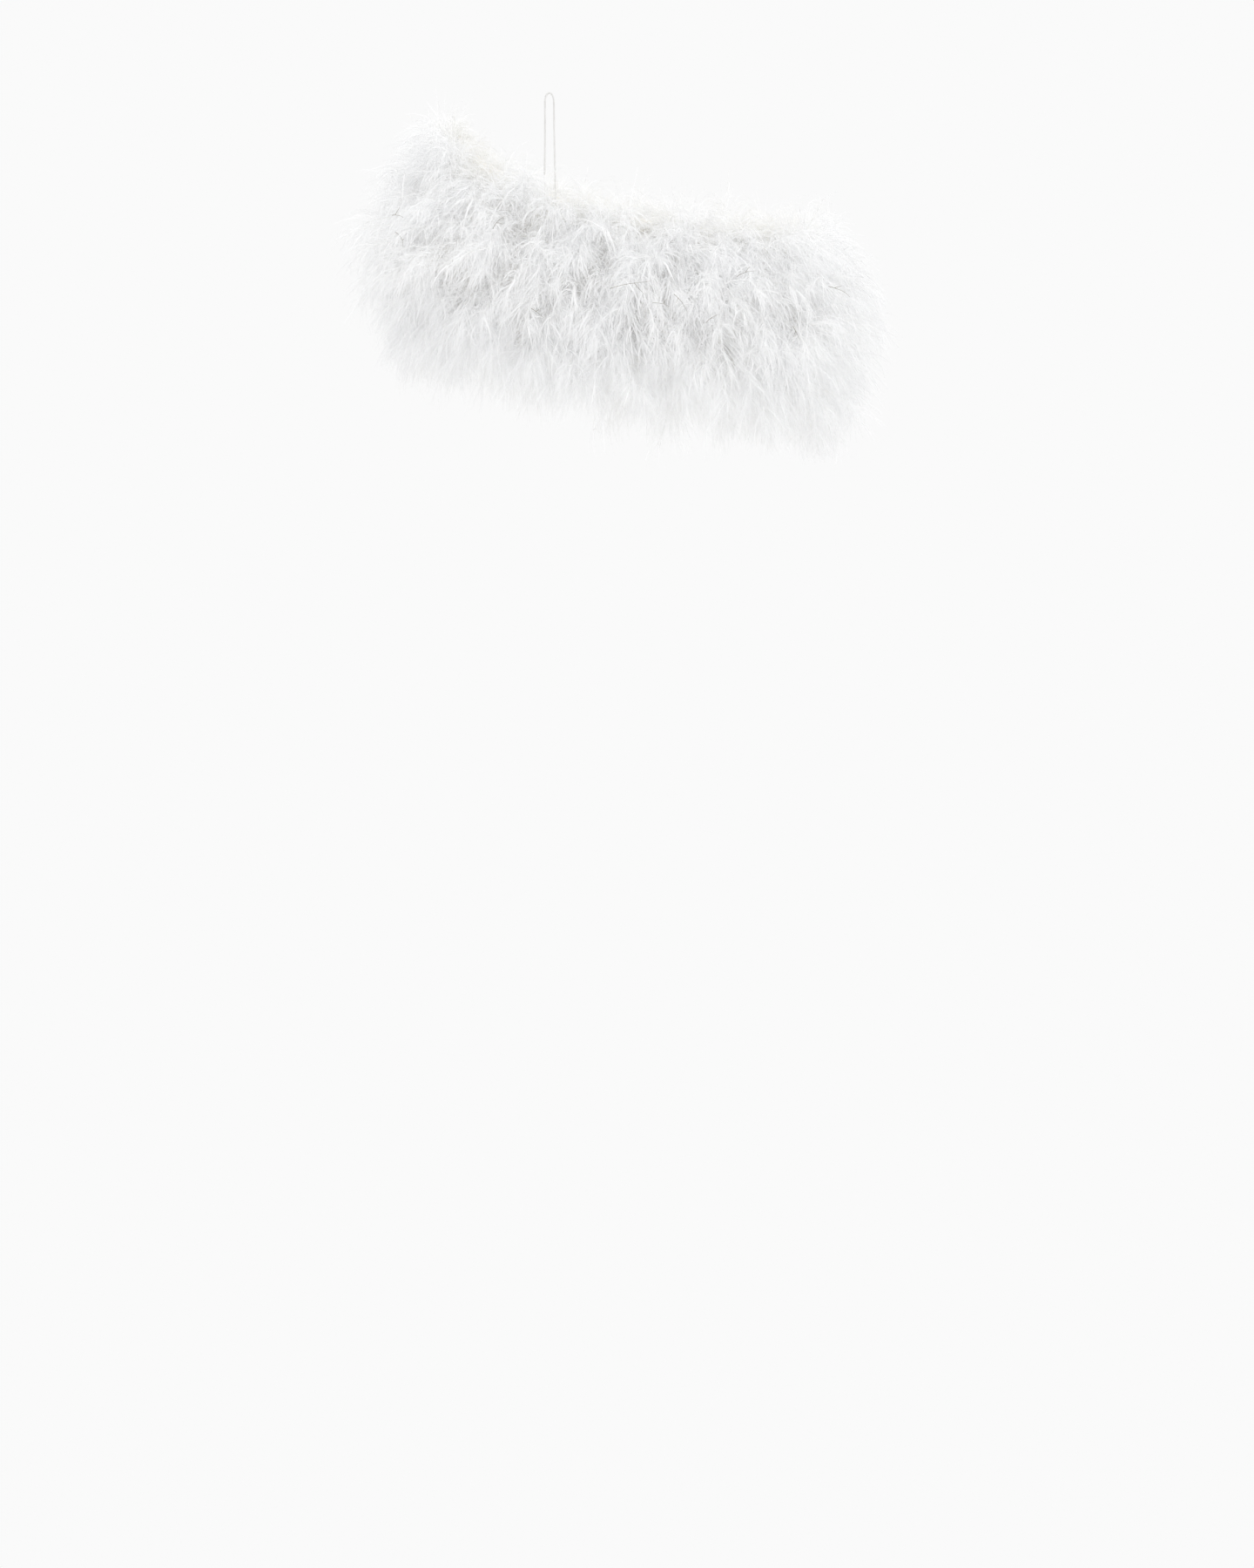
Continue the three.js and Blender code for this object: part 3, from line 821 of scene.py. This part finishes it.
def gather_feathers(draws, sets):
    """Ribbons, hairs and quills of these sets, shared out over the boa's parts."""
    gathered = {name: MeshParts() for name in PARTS}
    for quills, flues, plume, slot in sets:
        side = unit(draws.normal(size=(len(flues), 3)))
        width = FLUE_WIDTH * draws.lognormal(0, FLUE_WIDTH_SPREAD, len(flues))
        tone = draws.uniform(*FLUE_TONES, len(flues))
        part = part_of(quills[:, 0])
        for name, parts in gathered.items():
            chosen = part[plume] == name
            add_ribbons(parts, flues[chosen], width[chosen], side[chosen], tone[chosen], slot)
            add_hairs(parts, draws, flues[chosen], tone[chosen], slot)
            add_quills(parts, quills[part == name])
    return gathered


def make_feather_row(row, materials):
    draws, kinds = grow_row(row)
    for kind, sets in kinds.items():
        for name, parts in gather_feathers(draws, sets).items():
            piece = parts.build(f"{kind}_{row + 1}_{name}", materials)
            settle(piece, name, f"feather_row_{row + 1}_{name}")


# ---- shapes of cloth, cord, thread and metal ----
def add_shell(parts, near, far, size, slot=0):
    """A closed sheet between two grids of points (rows, columns, 3), with UVs over its size in metres."""
    rows, columns, _ = near.shape
    index = np.arange(rows * columns).reshape(rows, columns)
    back = np.stack([index[:-1, :-1], index[:-1, 1:], index[1:, 1:], index[1:, :-1]], axis=-1).reshape(-1, 4)
    front = back[:, ::-1] + rows * columns
    rim = np.concatenate([index[0, :-1], index[:-1, -1], index[-1, :0:-1], index[:0:-1, 0]])
    after = np.roll(rim, -1)
    edge = np.stack([after, rim, rim + rows * columns, after + rows * columns], axis=1)
    u, v = np.meshgrid(np.linspace(0, size[0], rows), np.linspace(0, size[1], columns), indexing="ij")
    uvs = np.tile(np.stack([u, v], axis=-1).reshape(-1, 2), (2, 1))
    corners = np.concatenate([near.reshape(-1, 3), far.reshape(-1, 3)])
    parts.add(corners, uvs, np.concatenate([back, front, edge]), slot)


def add_tubes(parts, lines, radius, first, second, sides, slot=0):
    """Round tubes with closed ends along lines (tube, point, 3)."""
    count, points, _ = lines.shape
    corners, walls = tube_shape(lines, radius, first, second, sides)
    fan = np.arange(1, sides - 1, 2)
    cap = np.stack([np.zeros_like(fan), fan, fan + 1, (fan + 2) % sides], axis=-1)
    start_caps = (cap + sides * points * np.arange(count)[:, None, None]).reshape(-1, 4)
    end_caps = start_caps + sides * (points - 1)
    u = np.broadcast_to(reached_along(lines[0])[None, :, None], (count, points, sides)).ravel()
    v = np.broadcast_to(2 * math.pi * np.arange(sides) / sides * radius.max(), (count, points, sides)).ravel()
    faces = np.concatenate([walls, start_caps[:, ::-1], end_caps])
    parts.add(corners, np.stack([u, v], axis=-1), faces, slot)


def add_stitches(parts, middles, along, outward, length, slot=0):
    """Short stitches of thread, thickest in the middle, that lie at each middle and run along."""
    share, height, radius = np.array(STITCH_PROFILE).T
    height, radius = height * THREAD_RADIUS, radius * THREAD_RADIUS
    lines = middles[:, None] + along[:, None] * share[:, None] * length + outward[:, None] * height[:, None]
    first = np.broadcast_to(outward[:, None], lines.shape)
    second = np.cross(np.broadcast_to(along[:, None], lines.shape), first)
    add_tubes(parts, lines, radius, first, second, THREAD_SIDES, slot)


def add_rope(parts, line, first, second, strand_radius, lay_radius, pitch):
    """A rope of strands that are laid round each other, along one line (point, 3)."""
    shift = np.arange(ROPE_STRANDS)[:, None] / ROPE_STRANDS
    turn = 2 * math.pi * (reached_along(line)[None] / pitch + shift)
    lay = first[None] * np.cos(turn)[..., None] + second[None] * np.sin(turn)[..., None]
    lines = line[None] + lay * lay_radius
    across = np.cross(np.gradient(lines, axis=1), lay)
    radius = np.full(len(line), strand_radius)
    add_tubes(parts, lines, radius, lay, unit(across), ROPE_SIDES)


def add_lathe(parts, profile, slot=0):
    """A closed solid turned round the Y axis from a closed profile of (radius, height) points."""
    points = np.array(profile)
    turn = 2 * math.pi * np.arange(LATHE_SIDES) / LATHE_SIDES
    corners = np.stack(
        [
            points[:, 0] * np.cos(turn)[:, None],
            np.broadcast_to(points[:, 1], (LATHE_SIDES, len(points))),
            points[:, 0] * np.sin(turn)[:, None],
        ],
        axis=-1,
    ).reshape(-1, 3)
    index = np.arange(LATHE_SIDES * len(points)).reshape(LATHE_SIDES, len(points))
    next_turn, next_point = np.roll(index, -1, axis=0), np.roll(index, -1, axis=1)
    both = np.roll(next_turn, -1, axis=1)
    faces = np.stack([index, next_point, both, next_turn], axis=-1).reshape(-1, 4)
    parts.add(corners, np.stack([corners[:, 0], corners[:, 2]], axis=-1), faces, slot)


def fair(piece):
    """Merges doubled corners and turns every face of a closed piece outwards."""
    mesh = bmesh.new()
    mesh.from_mesh(piece.data)
    bmesh.ops.remove_doubles(mesh, verts=mesh.verts, dist=DOUBLED)
    bmesh.ops.recalc_face_normals(mesh, faces=mesh.faces)
    mesh.to_mesh(piece.data)
    mesh.free()
    return piece


# ---- the fabric band, layer by layer ----
def part_angles(part, step):
    """Even angles round one part's stretch of the wall, about a step in metres apart."""
    first, last = PART_SPANS[part]
    count = max(3, round(abs(last - first) * OPENING_HALF_WIDTH / step))
    return np.linspace(first, last, count + 1)


def wall_grid(angle, out, level, rise=0):
    """A grid of wall points at each angle (row) and level (column), out and up from the wall."""
    angle, level, out = np.broadcast_arrays(angle[:, None], level, out)
    points = wall_points(angle, out, level)
    points[..., 2] += rise
    return points


def puckers(angle, level, depth, wave):
    """Small gathers that run up and down the cloth and drift, an array of (angle, level) distances."""
    place = angle[:, None] * OPENING_HALF_WIDTH / wave
    drift = 1.3 * np.sin(2.1 * level + 3 * angle[:, None])
    broad, fine = np.sin(2 * math.pi * place + drift), np.sin(4.7 * place + 2 * drift)
    return depth * (0.5 + 0.3 * broad + 0.2 * fine)


def wall_length(angle):
    line = wall_points(angle, np.zeros_like(angle), np.full_like(angle, ROWS / 2))
    return float(reached_along(line)[-1])


def make_layer(kind, part, shape, material):
    """One part's sheet of cloth between two distances out and two levels, gathered a little."""
    out, levels, depth, wave = shape
    angle = part_angles(part, LAYER_STEP)
    level = np.linspace(*levels, round(LAYER_COLUMNS * (levels[1] - levels[0]) / ROWS) + LEAST_COLUMNS)
    gather = puckers(angle, level, depth, wave)
    near = wall_grid(angle, out[0] - gather, level)
    far = wall_grid(angle, out[1] - gather, level)
    width = wall_length(angle)
    height = float(reached_along(near[len(angle) // 2])[-1])
    parts = MeshParts()
    add_shell(parts, near, far, (width, height))
    piece = fair(parts.build(f"{kind}_cloth_{part}", [material], "weave"))
    settle(piece, part, f"{kind}_{part}")
    diagonals = near[1:, 1:] - near[:-1, :-1], near[1:, :-1] - near[:-1, 1:]
    area = float(np.linalg.norm(np.cross(*diagonals), axis=-1).sum()) / 2
    return piece, (width, float((near[:, 0, 2] - near[:, -1, 2]).max())), area


def make_binding(kind, part, level, direction, material):
    """A folded tape over the band's top or bottom edge, with a leg down each face."""
    angle = part_angles(part, LAYER_STEP)
    turn = np.linspace(0, math.pi, BINDING_TURNS)
    legs = np.linspace(0, 1, BINDING_ROWS)
    middle = (LINING_INSIDE + BAND_FACE) / 2
    half = (BAND_FACE - LINING_INSIDE) / 2
    shells = []
    for skins in (1, 2):
        reach = half + skins * BINDING_SKIN
        rise = BINDING_RISE - (2 - skins) * BINDING_SKIN
        leg_out = np.full(BINDING_ROWS, reach)
        out = np.concatenate([-leg_out, -reach * np.cos(turn), leg_out])
        up = np.concatenate([BINDING_LEG * (legs - 1), rise * np.sin(turn), -BINDING_LEG * legs])
        shells.append(wall_grid(angle, middle + out, np.full(len(out), float(level)), direction * up))
    parts = MeshParts()
    add_shell(parts, *shells, (wall_length(angle), 2 * BINDING_LEG + math.pi * half))
    piece = fair(parts.build(f"{kind}_tape_{part}", [material], "weave"))
    settle(piece, part, f"{kind}_{part}")
    return piece


def add_seam(parts, part, out, level, rise, facing, zigzag=0):
    """A row of stitches along the wall, straight or zigzag, facing out (1) or in (-1)."""
    angle = part_angles(part, STITCH_PITCH)
    middle = (angle[1:] + angle[:-1]) / 2
    spot = wall_points(middle, np.full_like(middle, out), np.full_like(middle, level))
    spot[:, 2] += rise + zigzag / 2
    along = unit(np.gradient(spot, axis=0))
    slant = np.where(np.arange(len(spot)) % 2, 1, -1)[:, None] * zigzag
    direction = unit(along * STITCH_LENGTH + UP * slant)
    add_stitches(parts, spot, direction, outward_at(middle) * facing, STITCH_LENGTH)


def make_seams(part, thread):
    """The machine stitches that hold one part's bindings, elastic and feather rows."""
    parts = MeshParts()
    inner, outer = LINING_INSIDE - 2 * BINDING_SKIN, BAND_FACE + 2 * BINDING_SKIN
    for level, direction in ((0, 1), (ROWS, -1)):
        for out, facing in ((inner, -1), (outer, 1)):
            add_seam(parts, part, out, level, -direction * BINDING_SEAM, facing)
    for level in ELASTIC_LEVELS:
        edge = level + (ELASTIC_SEAM if level == ELASTIC_LEVELS[0] else -ELASTIC_SEAM)
        add_seam(parts, part, ELASTIC_OUT[0] - ELASTIC_GATHER / 2, edge, 0, -1, ZIGZAG)
    for row in range(ROWS):
        add_seam(parts, part, LINING_OUT[0] - LINING_PUCKER / 2, row + 0.5, 0, -1)
    piece = parts.build(f"machine_stitches_{part}", [thread], "weave")
    settle(piece, part)
    return piece


def make_fabric(part, materials):
    """Band, lining, elastic, bindings and machine stitches of one part."""
    made = [
        make_layer("band", part, BAND_SHAPE, materials["band"]),
        make_layer("lining", part, LINING_SHAPE, materials["lining"]),
        make_layer("grip_elastic", part, ELASTIC_SHAPE, materials["elastic"]),
    ]
    trim = [
        make_binding("top_binding", part, 0, 1, materials["binding"]),
        make_binding("bottom_binding", part, ROWS, -1, materials["binding"]),
        make_seams(part, materials["thread"]),
    ]


# ---- cords and whippings inside the feather rows ----
def make_core_cords(part, material):
    """The cord laid up from strands inside each feather row."""
    for row in range(ROWS):
        angle = part_angles(part, ROPE_STEP)
        line = wall_points(angle, np.full_like(angle, ROPE_OUT), np.full_like(angle, row + 0.5))
        parts = MeshParts()
        up = np.broadcast_to(UP, line.shape)
        add_rope(parts, line, outward_at(angle), up, ROPE_STRAND, ROPE_LAY, ROPE_PITCH)
        piece = parts.build(f"core_rope_{row + 1}_{part}", [material], "weave")
        settle(piece, part, f"core_cord_{row + 1}_{part}")


def make_whippings(part, material):
    """Thread wound round each cord's end at the closure."""
    end = PART_SPANS[part][1]
    start = end - math.copysign(WHIPPING_SPAN, end)
    for row in range(ROWS):
        share = np.linspace(0, 1, WHIPPING_TURNS * WHIPPING_STEPS + 1)
        angle = start + (end - start) * share
        line = wall_points(angle, np.full_like(angle, ROPE_OUT), np.full_like(angle, row + 0.5))
        turn = 2 * math.pi * WHIPPING_TURNS * share[:, None]
        lay = outward_at(angle) * np.cos(turn) + UP * np.sin(turn)
        coil = line + lay * WHIPPING_RADIUS
        across = unit(np.cross(np.gradient(coil, axis=0), lay))
        radius = np.full(len(coil), WHIPPING_THREAD)
        parts = MeshParts()
        add_tubes(parts, coil[None], radius, lay[None], across[None], THREAD_SIDES)
        piece = parts.build(f"whipping_thread_{row + 1}_{part}", [material], "weave")
        settle(piece, part, f"end_whipping_{row + 1}_{part}")


# ---- the closure: facings and press fasteners ----
def end_edge(level):
    """Points on the wall's face at the closure, at each level."""
    return wall_points(np.full_like(level, math.pi), np.full_like(level, BAND_FACE), level)


def make_facing(part, materials):
    """The stitched facing that turns in across one end of the band."""
    low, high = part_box(f"closure_facing_{part}")
    edge = end_edge(np.linspace(*FACING_LEVELS, FACING_ROWS))
    across = np.linspace(0, FACING_WIDTH, FACING_COLUMNS)
    x = edge[:, 0] + across[:, None]
    z = np.broadcast_to(edge[:, 2], x.shape)
    crown = FACING_CROWN * np.sin(math.pi * across / FACING_WIDTH)[:, None] * np.ones_like(x)
    near = np.stack([x, low.y + FACING_CROWN - crown, z], axis=-1)
    far = np.stack([x, high.y - FACING_CROWN + crown, z], axis=-1)
    parts = MeshParts()
    height = float(edge[0, 2] - edge[-1, 2])
    add_shell(parts, near, far, (FACING_WIDTH, height))
    facing = fair(parts.build(f"facing_cloth_{part}", [materials["binding"]], "weave"))
    settle(facing, part, f"closure_facing_{part}")
    seams = MeshParts()
    for inset in (FACING_SEAM, FACING_WIDTH - FACING_SEAM):
        for y, facing_way in ((low.y, -1), (high.y, 1)):
            spot = end_edge(np.linspace(*FACING_SEAM_LEVELS, round(height / STITCH_PITCH)))
            spot[:, 0] += inset
            spot[:, 1] = y
            along = unit(np.gradient(spot, axis=0))
            outward = np.broadcast_to(np.array([0.0, facing_way, 0.0]), spot.shape)
            add_stitches(seams, spot, along, outward, STITCH_LENGTH)
    stitches = seams.build(f"facing_stitches_{part}", [materials["thread"]], "weave")
    settle(stitches, part)


# half sections as (radius, height) in millimetres
SOCKET_PROFILE = (
    (2.0, -0.55), (2.0, 0.45), (2.25, 0.72), (2.7, 0.75), (3.0, 0.5), (3.2, 0.28), (4.7, 0.22),
    (5.05, 0.3), (5.4, 0.15), (5.5, -0.2), (5.35, -0.6), (4.9, -0.72), (2.5, -0.75),
)
STUD_PROFILE = (
    (0.02, -1.88), (0.9, -1.86), (1.55, -1.6), (1.85, -1.2), (1.75, -0.8), (1.42, -0.5), (1.5, -0.3),
    (2.1, -0.22), (4.7, -0.16), (5.05, -0.27), (5.4, -0.1), (5.5, 0.12), (5.35, 0.4), (4.9, 0.5),
    (0.02, 0.48),
)
STUD_RIM = 0.5
SOCKET_RIM = 0.28
SEWN_AT = 0.00475
SEWN_APART = 0.00042
SEWN_LENGTH = 0.0022


def make_fastener(node, profile, facing_way, materials):
    """A pressed metal fastener sewn on with four bundles of thread, where its CAD piece is."""
    low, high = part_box(node)
    centre = (low + high) / 2
    lathe_axis = Vector((0, 1, 0))
    axis = lathe_axis
    is_stud = profile is STUD_PROFILE
    if node.startswith("garment"):
        across = (centre.x - OPENING_CENTRE_X) / OPENING_HALF_WIDTH
        angle = math.atan2(-centre.y / OPENING_HALF_DEPTH, across)
        axis = Vector(outward_at(np.array([angle]))[0])
    elif is_stud:
        centre.y = 0
    parts = MeshParts()
    add_lathe(parts, [(radius * MILLIMETRE, y * MILLIMETRE) for radius, y in profile])
    rim = (STUD_RIM if is_stud else SOCKET_RIM) * MILLIMETRE * facing_way
    up = np.array([[0.0, facing_way, 0.0]])
    for quarter in range(4):
        turn = math.pi * (quarter / 2 + 0.25)
        radial = np.array([math.cos(turn), 0.0, math.sin(turn)])
        sideways = np.array([-math.sin(turn), 0.0, math.cos(turn)])
        for strand in (-1, 0, 1):
            middle = radial * SEWN_AT + sideways * strand * SEWN_APART + np.array([0, rim, 0])
            add_stitches(parts, middle[None], radial[None], up, SEWN_LENGTH, THREAD_SLOT)
    piece = fair(parts.build(f"{node}_metal", [materials["metal"], materials["thread"]], "weave"))
    turned = lathe_axis.rotation_difference(axis).to_matrix().to_4x4()
    turned.translation = centre
    piece.data.transform(turned)
    settle(piece, "back" if is_stud else "front", node)


# ---- the hanging loop and its tab ----
def smooth_line(route, count):
    """An even smooth curve through a route's points."""
    points = np.array(route)
    reached = reached_along(points)
    slope = np.gradient(points, reached, axis=0)
    place = np.linspace(0, reached[-1], count)
    before = np.clip(np.searchsorted(reached, place, side="right") - 1, 0, len(points) - 2)
    span = (reached[before + 1] - reached[before])[:, None]
    t = (place - reached[before])[:, None] / span
    return (
        (2 * t**3 - 3 * t**2 + 1) * points[before]
        + (t**3 - 2 * t**2 + t) * span * slope[before]
        + (3 * t**2 - 2 * t**3) * points[before + 1]
        + (t**3 - t**2) * span * slope[before + 1]
    )


def make_loop(materials):
    """The hanging loop: one cord laid up from strands, both ends in the tab."""
    line = smooth_line(LOOP_ROUTE, LOOP_POINTS)
    tangent = unit(np.gradient(line, axis=0))
    first = np.broadcast_to(np.array([0.0, 1.0, 0.0]), line.shape)
    first = unit(first - tangent * (first * tangent).sum(axis=1, keepdims=True))
    parts = MeshParts()
    add_rope(parts, line, first, np.cross(tangent, first), LOOP_STRAND, LOOP_LAY, LOOP_PITCH)
    loop = parts.build("loop_cord", [materials["loop"]], "weave")
    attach(loop, "loop")
    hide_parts("hanging_loop")


def make_tab(materials):
    """The folded tab that the loop is sewn to, with a boxed cross of stitches."""
    low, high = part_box("loop_anchor_tab")
    half_width = OPENING_HALF_WIDTH - TAB_INSET
    first, last = (math.acos((x - OPENING_CENTRE_X) / half_width) for x in (high.x, low.x))
    angle = np.linspace(first, last, TAB_COLUMNS)
    top, bottom = edge_heights(angle)
    grids = []
    for out in TAB_OUT:
        columns = []
        for height in np.linspace(high.z, low.z, TAB_ROWS):
            level = ROWS * (top - height) / (top - bottom)
            columns.append(wall_points(angle, np.full_like(angle, out), level))
        grids.append(np.stack(columns, axis=1))
    parts = MeshParts()
    add_shell(parts, *grids, (TAB_WIDTH, TAB_HEIGHT))
    tab = fair(parts.build("loop_tab", [materials["binding"]], "weave"))
    bevel = tab.modifiers.new("rounding", "BEVEL")
    bevel.width, bevel.segments, bevel.limit_method = TAB_ROUNDING, 2, "ANGLE"
    settle(tab, "front", "loop_anchor_tab")
    corners = [grids[0][i, j] for i, j in ((1, 1), (-2, 1), (-2, -2), (1, -2))]
    inward = -outward_at(angle[len(angle) // 2 :][:1])
    seams = MeshParts()
    for first, last in ((0, 1), (1, 2), (2, 3), (3, 0), (0, 2), (1, 3)):
        line = corners[last] - corners[first]
        count = max(2, round(float(np.linalg.norm(line)) / TAB_STITCH))
        spot = corners[first] + line * ((np.arange(count) + 0.5) / count)[:, None]
        along = np.broadcast_to(unit(line), spot.shape)
        add_stitches(seams, spot, along, np.broadcast_to(inward, spot.shape), TAB_STITCH * TAB_STITCH_SHARE)
    stitches = seams.build("tab_stitches", [materials["thread"]], "weave")
    settle(stitches, "front")


# ---- bare stems that stick out of the fluff ----
def make_stems(material):
    """Thin brownish stems that lost their flues, lying on the fluff, each with a side shoot."""
    draws = np.random.default_rng(SEED + STEM_SEED)
    gathered = {name: MeshParts() for name in PARTS}
    placed = list(STEMS)
    for _ in range(STRAY_STEMS):
        placed.append(tuple(draws.uniform(*limits) for limits in STRAY_RANGES))
    for degrees, level, out, slope, length in placed:
        angle = np.radians([degrees])
        root = wall_points(angle, np.array([out]), np.array([level]))
        outward = outward_at(angle)
        fork = draws.choice((-1, 1)) * draws.uniform(*STEM_FORKS)
        for turn, share in ((0, 1), (fork, draws.uniform(*STEM_FORK_LENGTHS))):
            tilt = math.radians(slope + turn)
            heading = level_across(outward) * math.cos(tilt) + UP * math.sin(tilt)
            heading = heading + outward * draws.uniform(*STEM_OUTWARD)
            start = root if turn == 0 else lines[:, draws.integers(*STEM_FORK_POINTS)]
            size = np.array([length * share])
            lines = grow(start, heading, size, STEM_SEGMENTS, STEM_DROOP, STEM_SWAY, clear_of_body)
            radius = STEM_RADIUS * (1 - STEM_TAPER * np.linspace(0, 1, lines.shape[1]))
            part = gathered[str(part_of(lines[:, 0])[0])]
            add_tubes(part, lines, radius, *across_lines(lines), THREAD_SIDES)
    for name, parts in gathered.items():
        if parts.count:
            settle(parts.build(f"bare_stems_{name}", [material], "weave"), name)


# ---- stage ----
SEEN_WHITE = 0.956
ROOM_LIGHT = 1.02
ROOM_SLOPE = 0.26
BRIGHT_SIDE = (0.3, -0.9, 0.2)
LIGHT_BOUNCES = 64
FLOOR_WHITE = 0.8
FLOOR_HEIGHT = -1.33
FLOOR_REACH = 40


def make_surround():
    """A white surround, plain where it is seen, that gives a little more light from above and one side."""
    scene = bpy.context.scene
    scene.view_settings.view_transform = "Standard"
    scene.cycles.max_bounces = LIGHT_BOUNCES
    scene.cycles.diffuse_bounces = LIGHT_BOUNCES
    scene.world = bpy.data.worlds.new("surround")
    scene.world.use_nodes = True
    tree = scene.world.node_tree
    background = tree.nodes["Background"]
    place = add_node(tree, "TexCoord").outputs["Generated"]
    settings = {0: place, 1: Vector(BRIGHT_SIDE).normalized()}
    towards = add_node(tree, "VectorMath", settings, operation="DOT_PRODUCT").outputs["Value"]
    light = add_range(tree, towards, ROOM_LIGHT - ROOM_SLOPE, ROOM_LIGHT + ROOM_SLOPE, lowest=-1)
    seen = add_node(tree, "LightPath").outputs["Is Camera Ray"]
    tree.links.new(add_range(tree, seen, light, SEEN_WHITE), background.inputs["Strength"])
    background.inputs["Color"].default_value = (1, 1, 1, 1)


def make_floor():
    """A pale matt floor that is seen as plain as the surround, and bounces light as a real one does."""
    mesh = bpy.data.meshes.new("floor")
    signs = ((-1, -1), (1, -1), (1, 1), (-1, 1))
    corners = [(x * FLOOR_REACH, y * FLOOR_REACH, FLOOR_HEIGHT) for x, y in signs]
    mesh.from_pydata(corners, [], [(0, 1, 2, 3)])
    floor = bpy.data.objects.new("floor", mesh)
    bpy.context.scene.collection.objects.link(floor)
    white = (FLOOR_WHITE, FLOOR_WHITE, FLOOR_WHITE, 1)
    constants = {"Base Color": white, "Roughness": 1, "Specular IOR Level": 0}
    material, tree, shader = new_material("pale_floor", constants)
    plain = add_node(tree, "Emission", {"Strength": SEEN_WHITE})
    seen = add_node(tree, "LightPath").outputs["Is Camera Ray"]
    shown = add_node(tree, "MixShader", {0: seen, 1: shader.outputs[0], 2: plain.outputs[0]})
    tree.links.new(shown.outputs[0], tree.nodes["Material Output"].inputs["Surface"])
    mesh.materials.append(material)


make_camera()
materials = make_materials()
make_loop(materials)
make_tab(materials)
for part in PARTS:
    make_fabric(part, materials)
    make_core_cords(part, materials["cord"])
for part in ("front", "back"):
    make_facing(part, materials)
    make_whippings(part, materials["thread"])
for place in ("upper", "middle", "lower"):
    make_fastener(f"closure_socket_{place}", SOCKET_PROFILE, 1, materials)
    make_fastener(f"closure_stud_{place}", STUD_PROFILE, 1, materials)
for place in ("right", "middle", "left"):
    make_fastener(f"garment_socket_{place}", SOCKET_PROFILE, -1, materials)
make_stems(materials["stem"])
feather_materials = [
    feather_material("white_flues", (253.8, 253.8, 253.4), (254.6, 254.7, 254.9)),
    quill_material(),
    # painted shade: the crest flues on the top edge are a touch darker and warmer than the white flues
    feather_material("crest_shade_flues", (253.1, 253, 251.8), (253.4, 253.3, 252.4)),
]
for row in range(ROWS):
    make_feather_row(row, feather_materials)
make_surround()
make_floor()
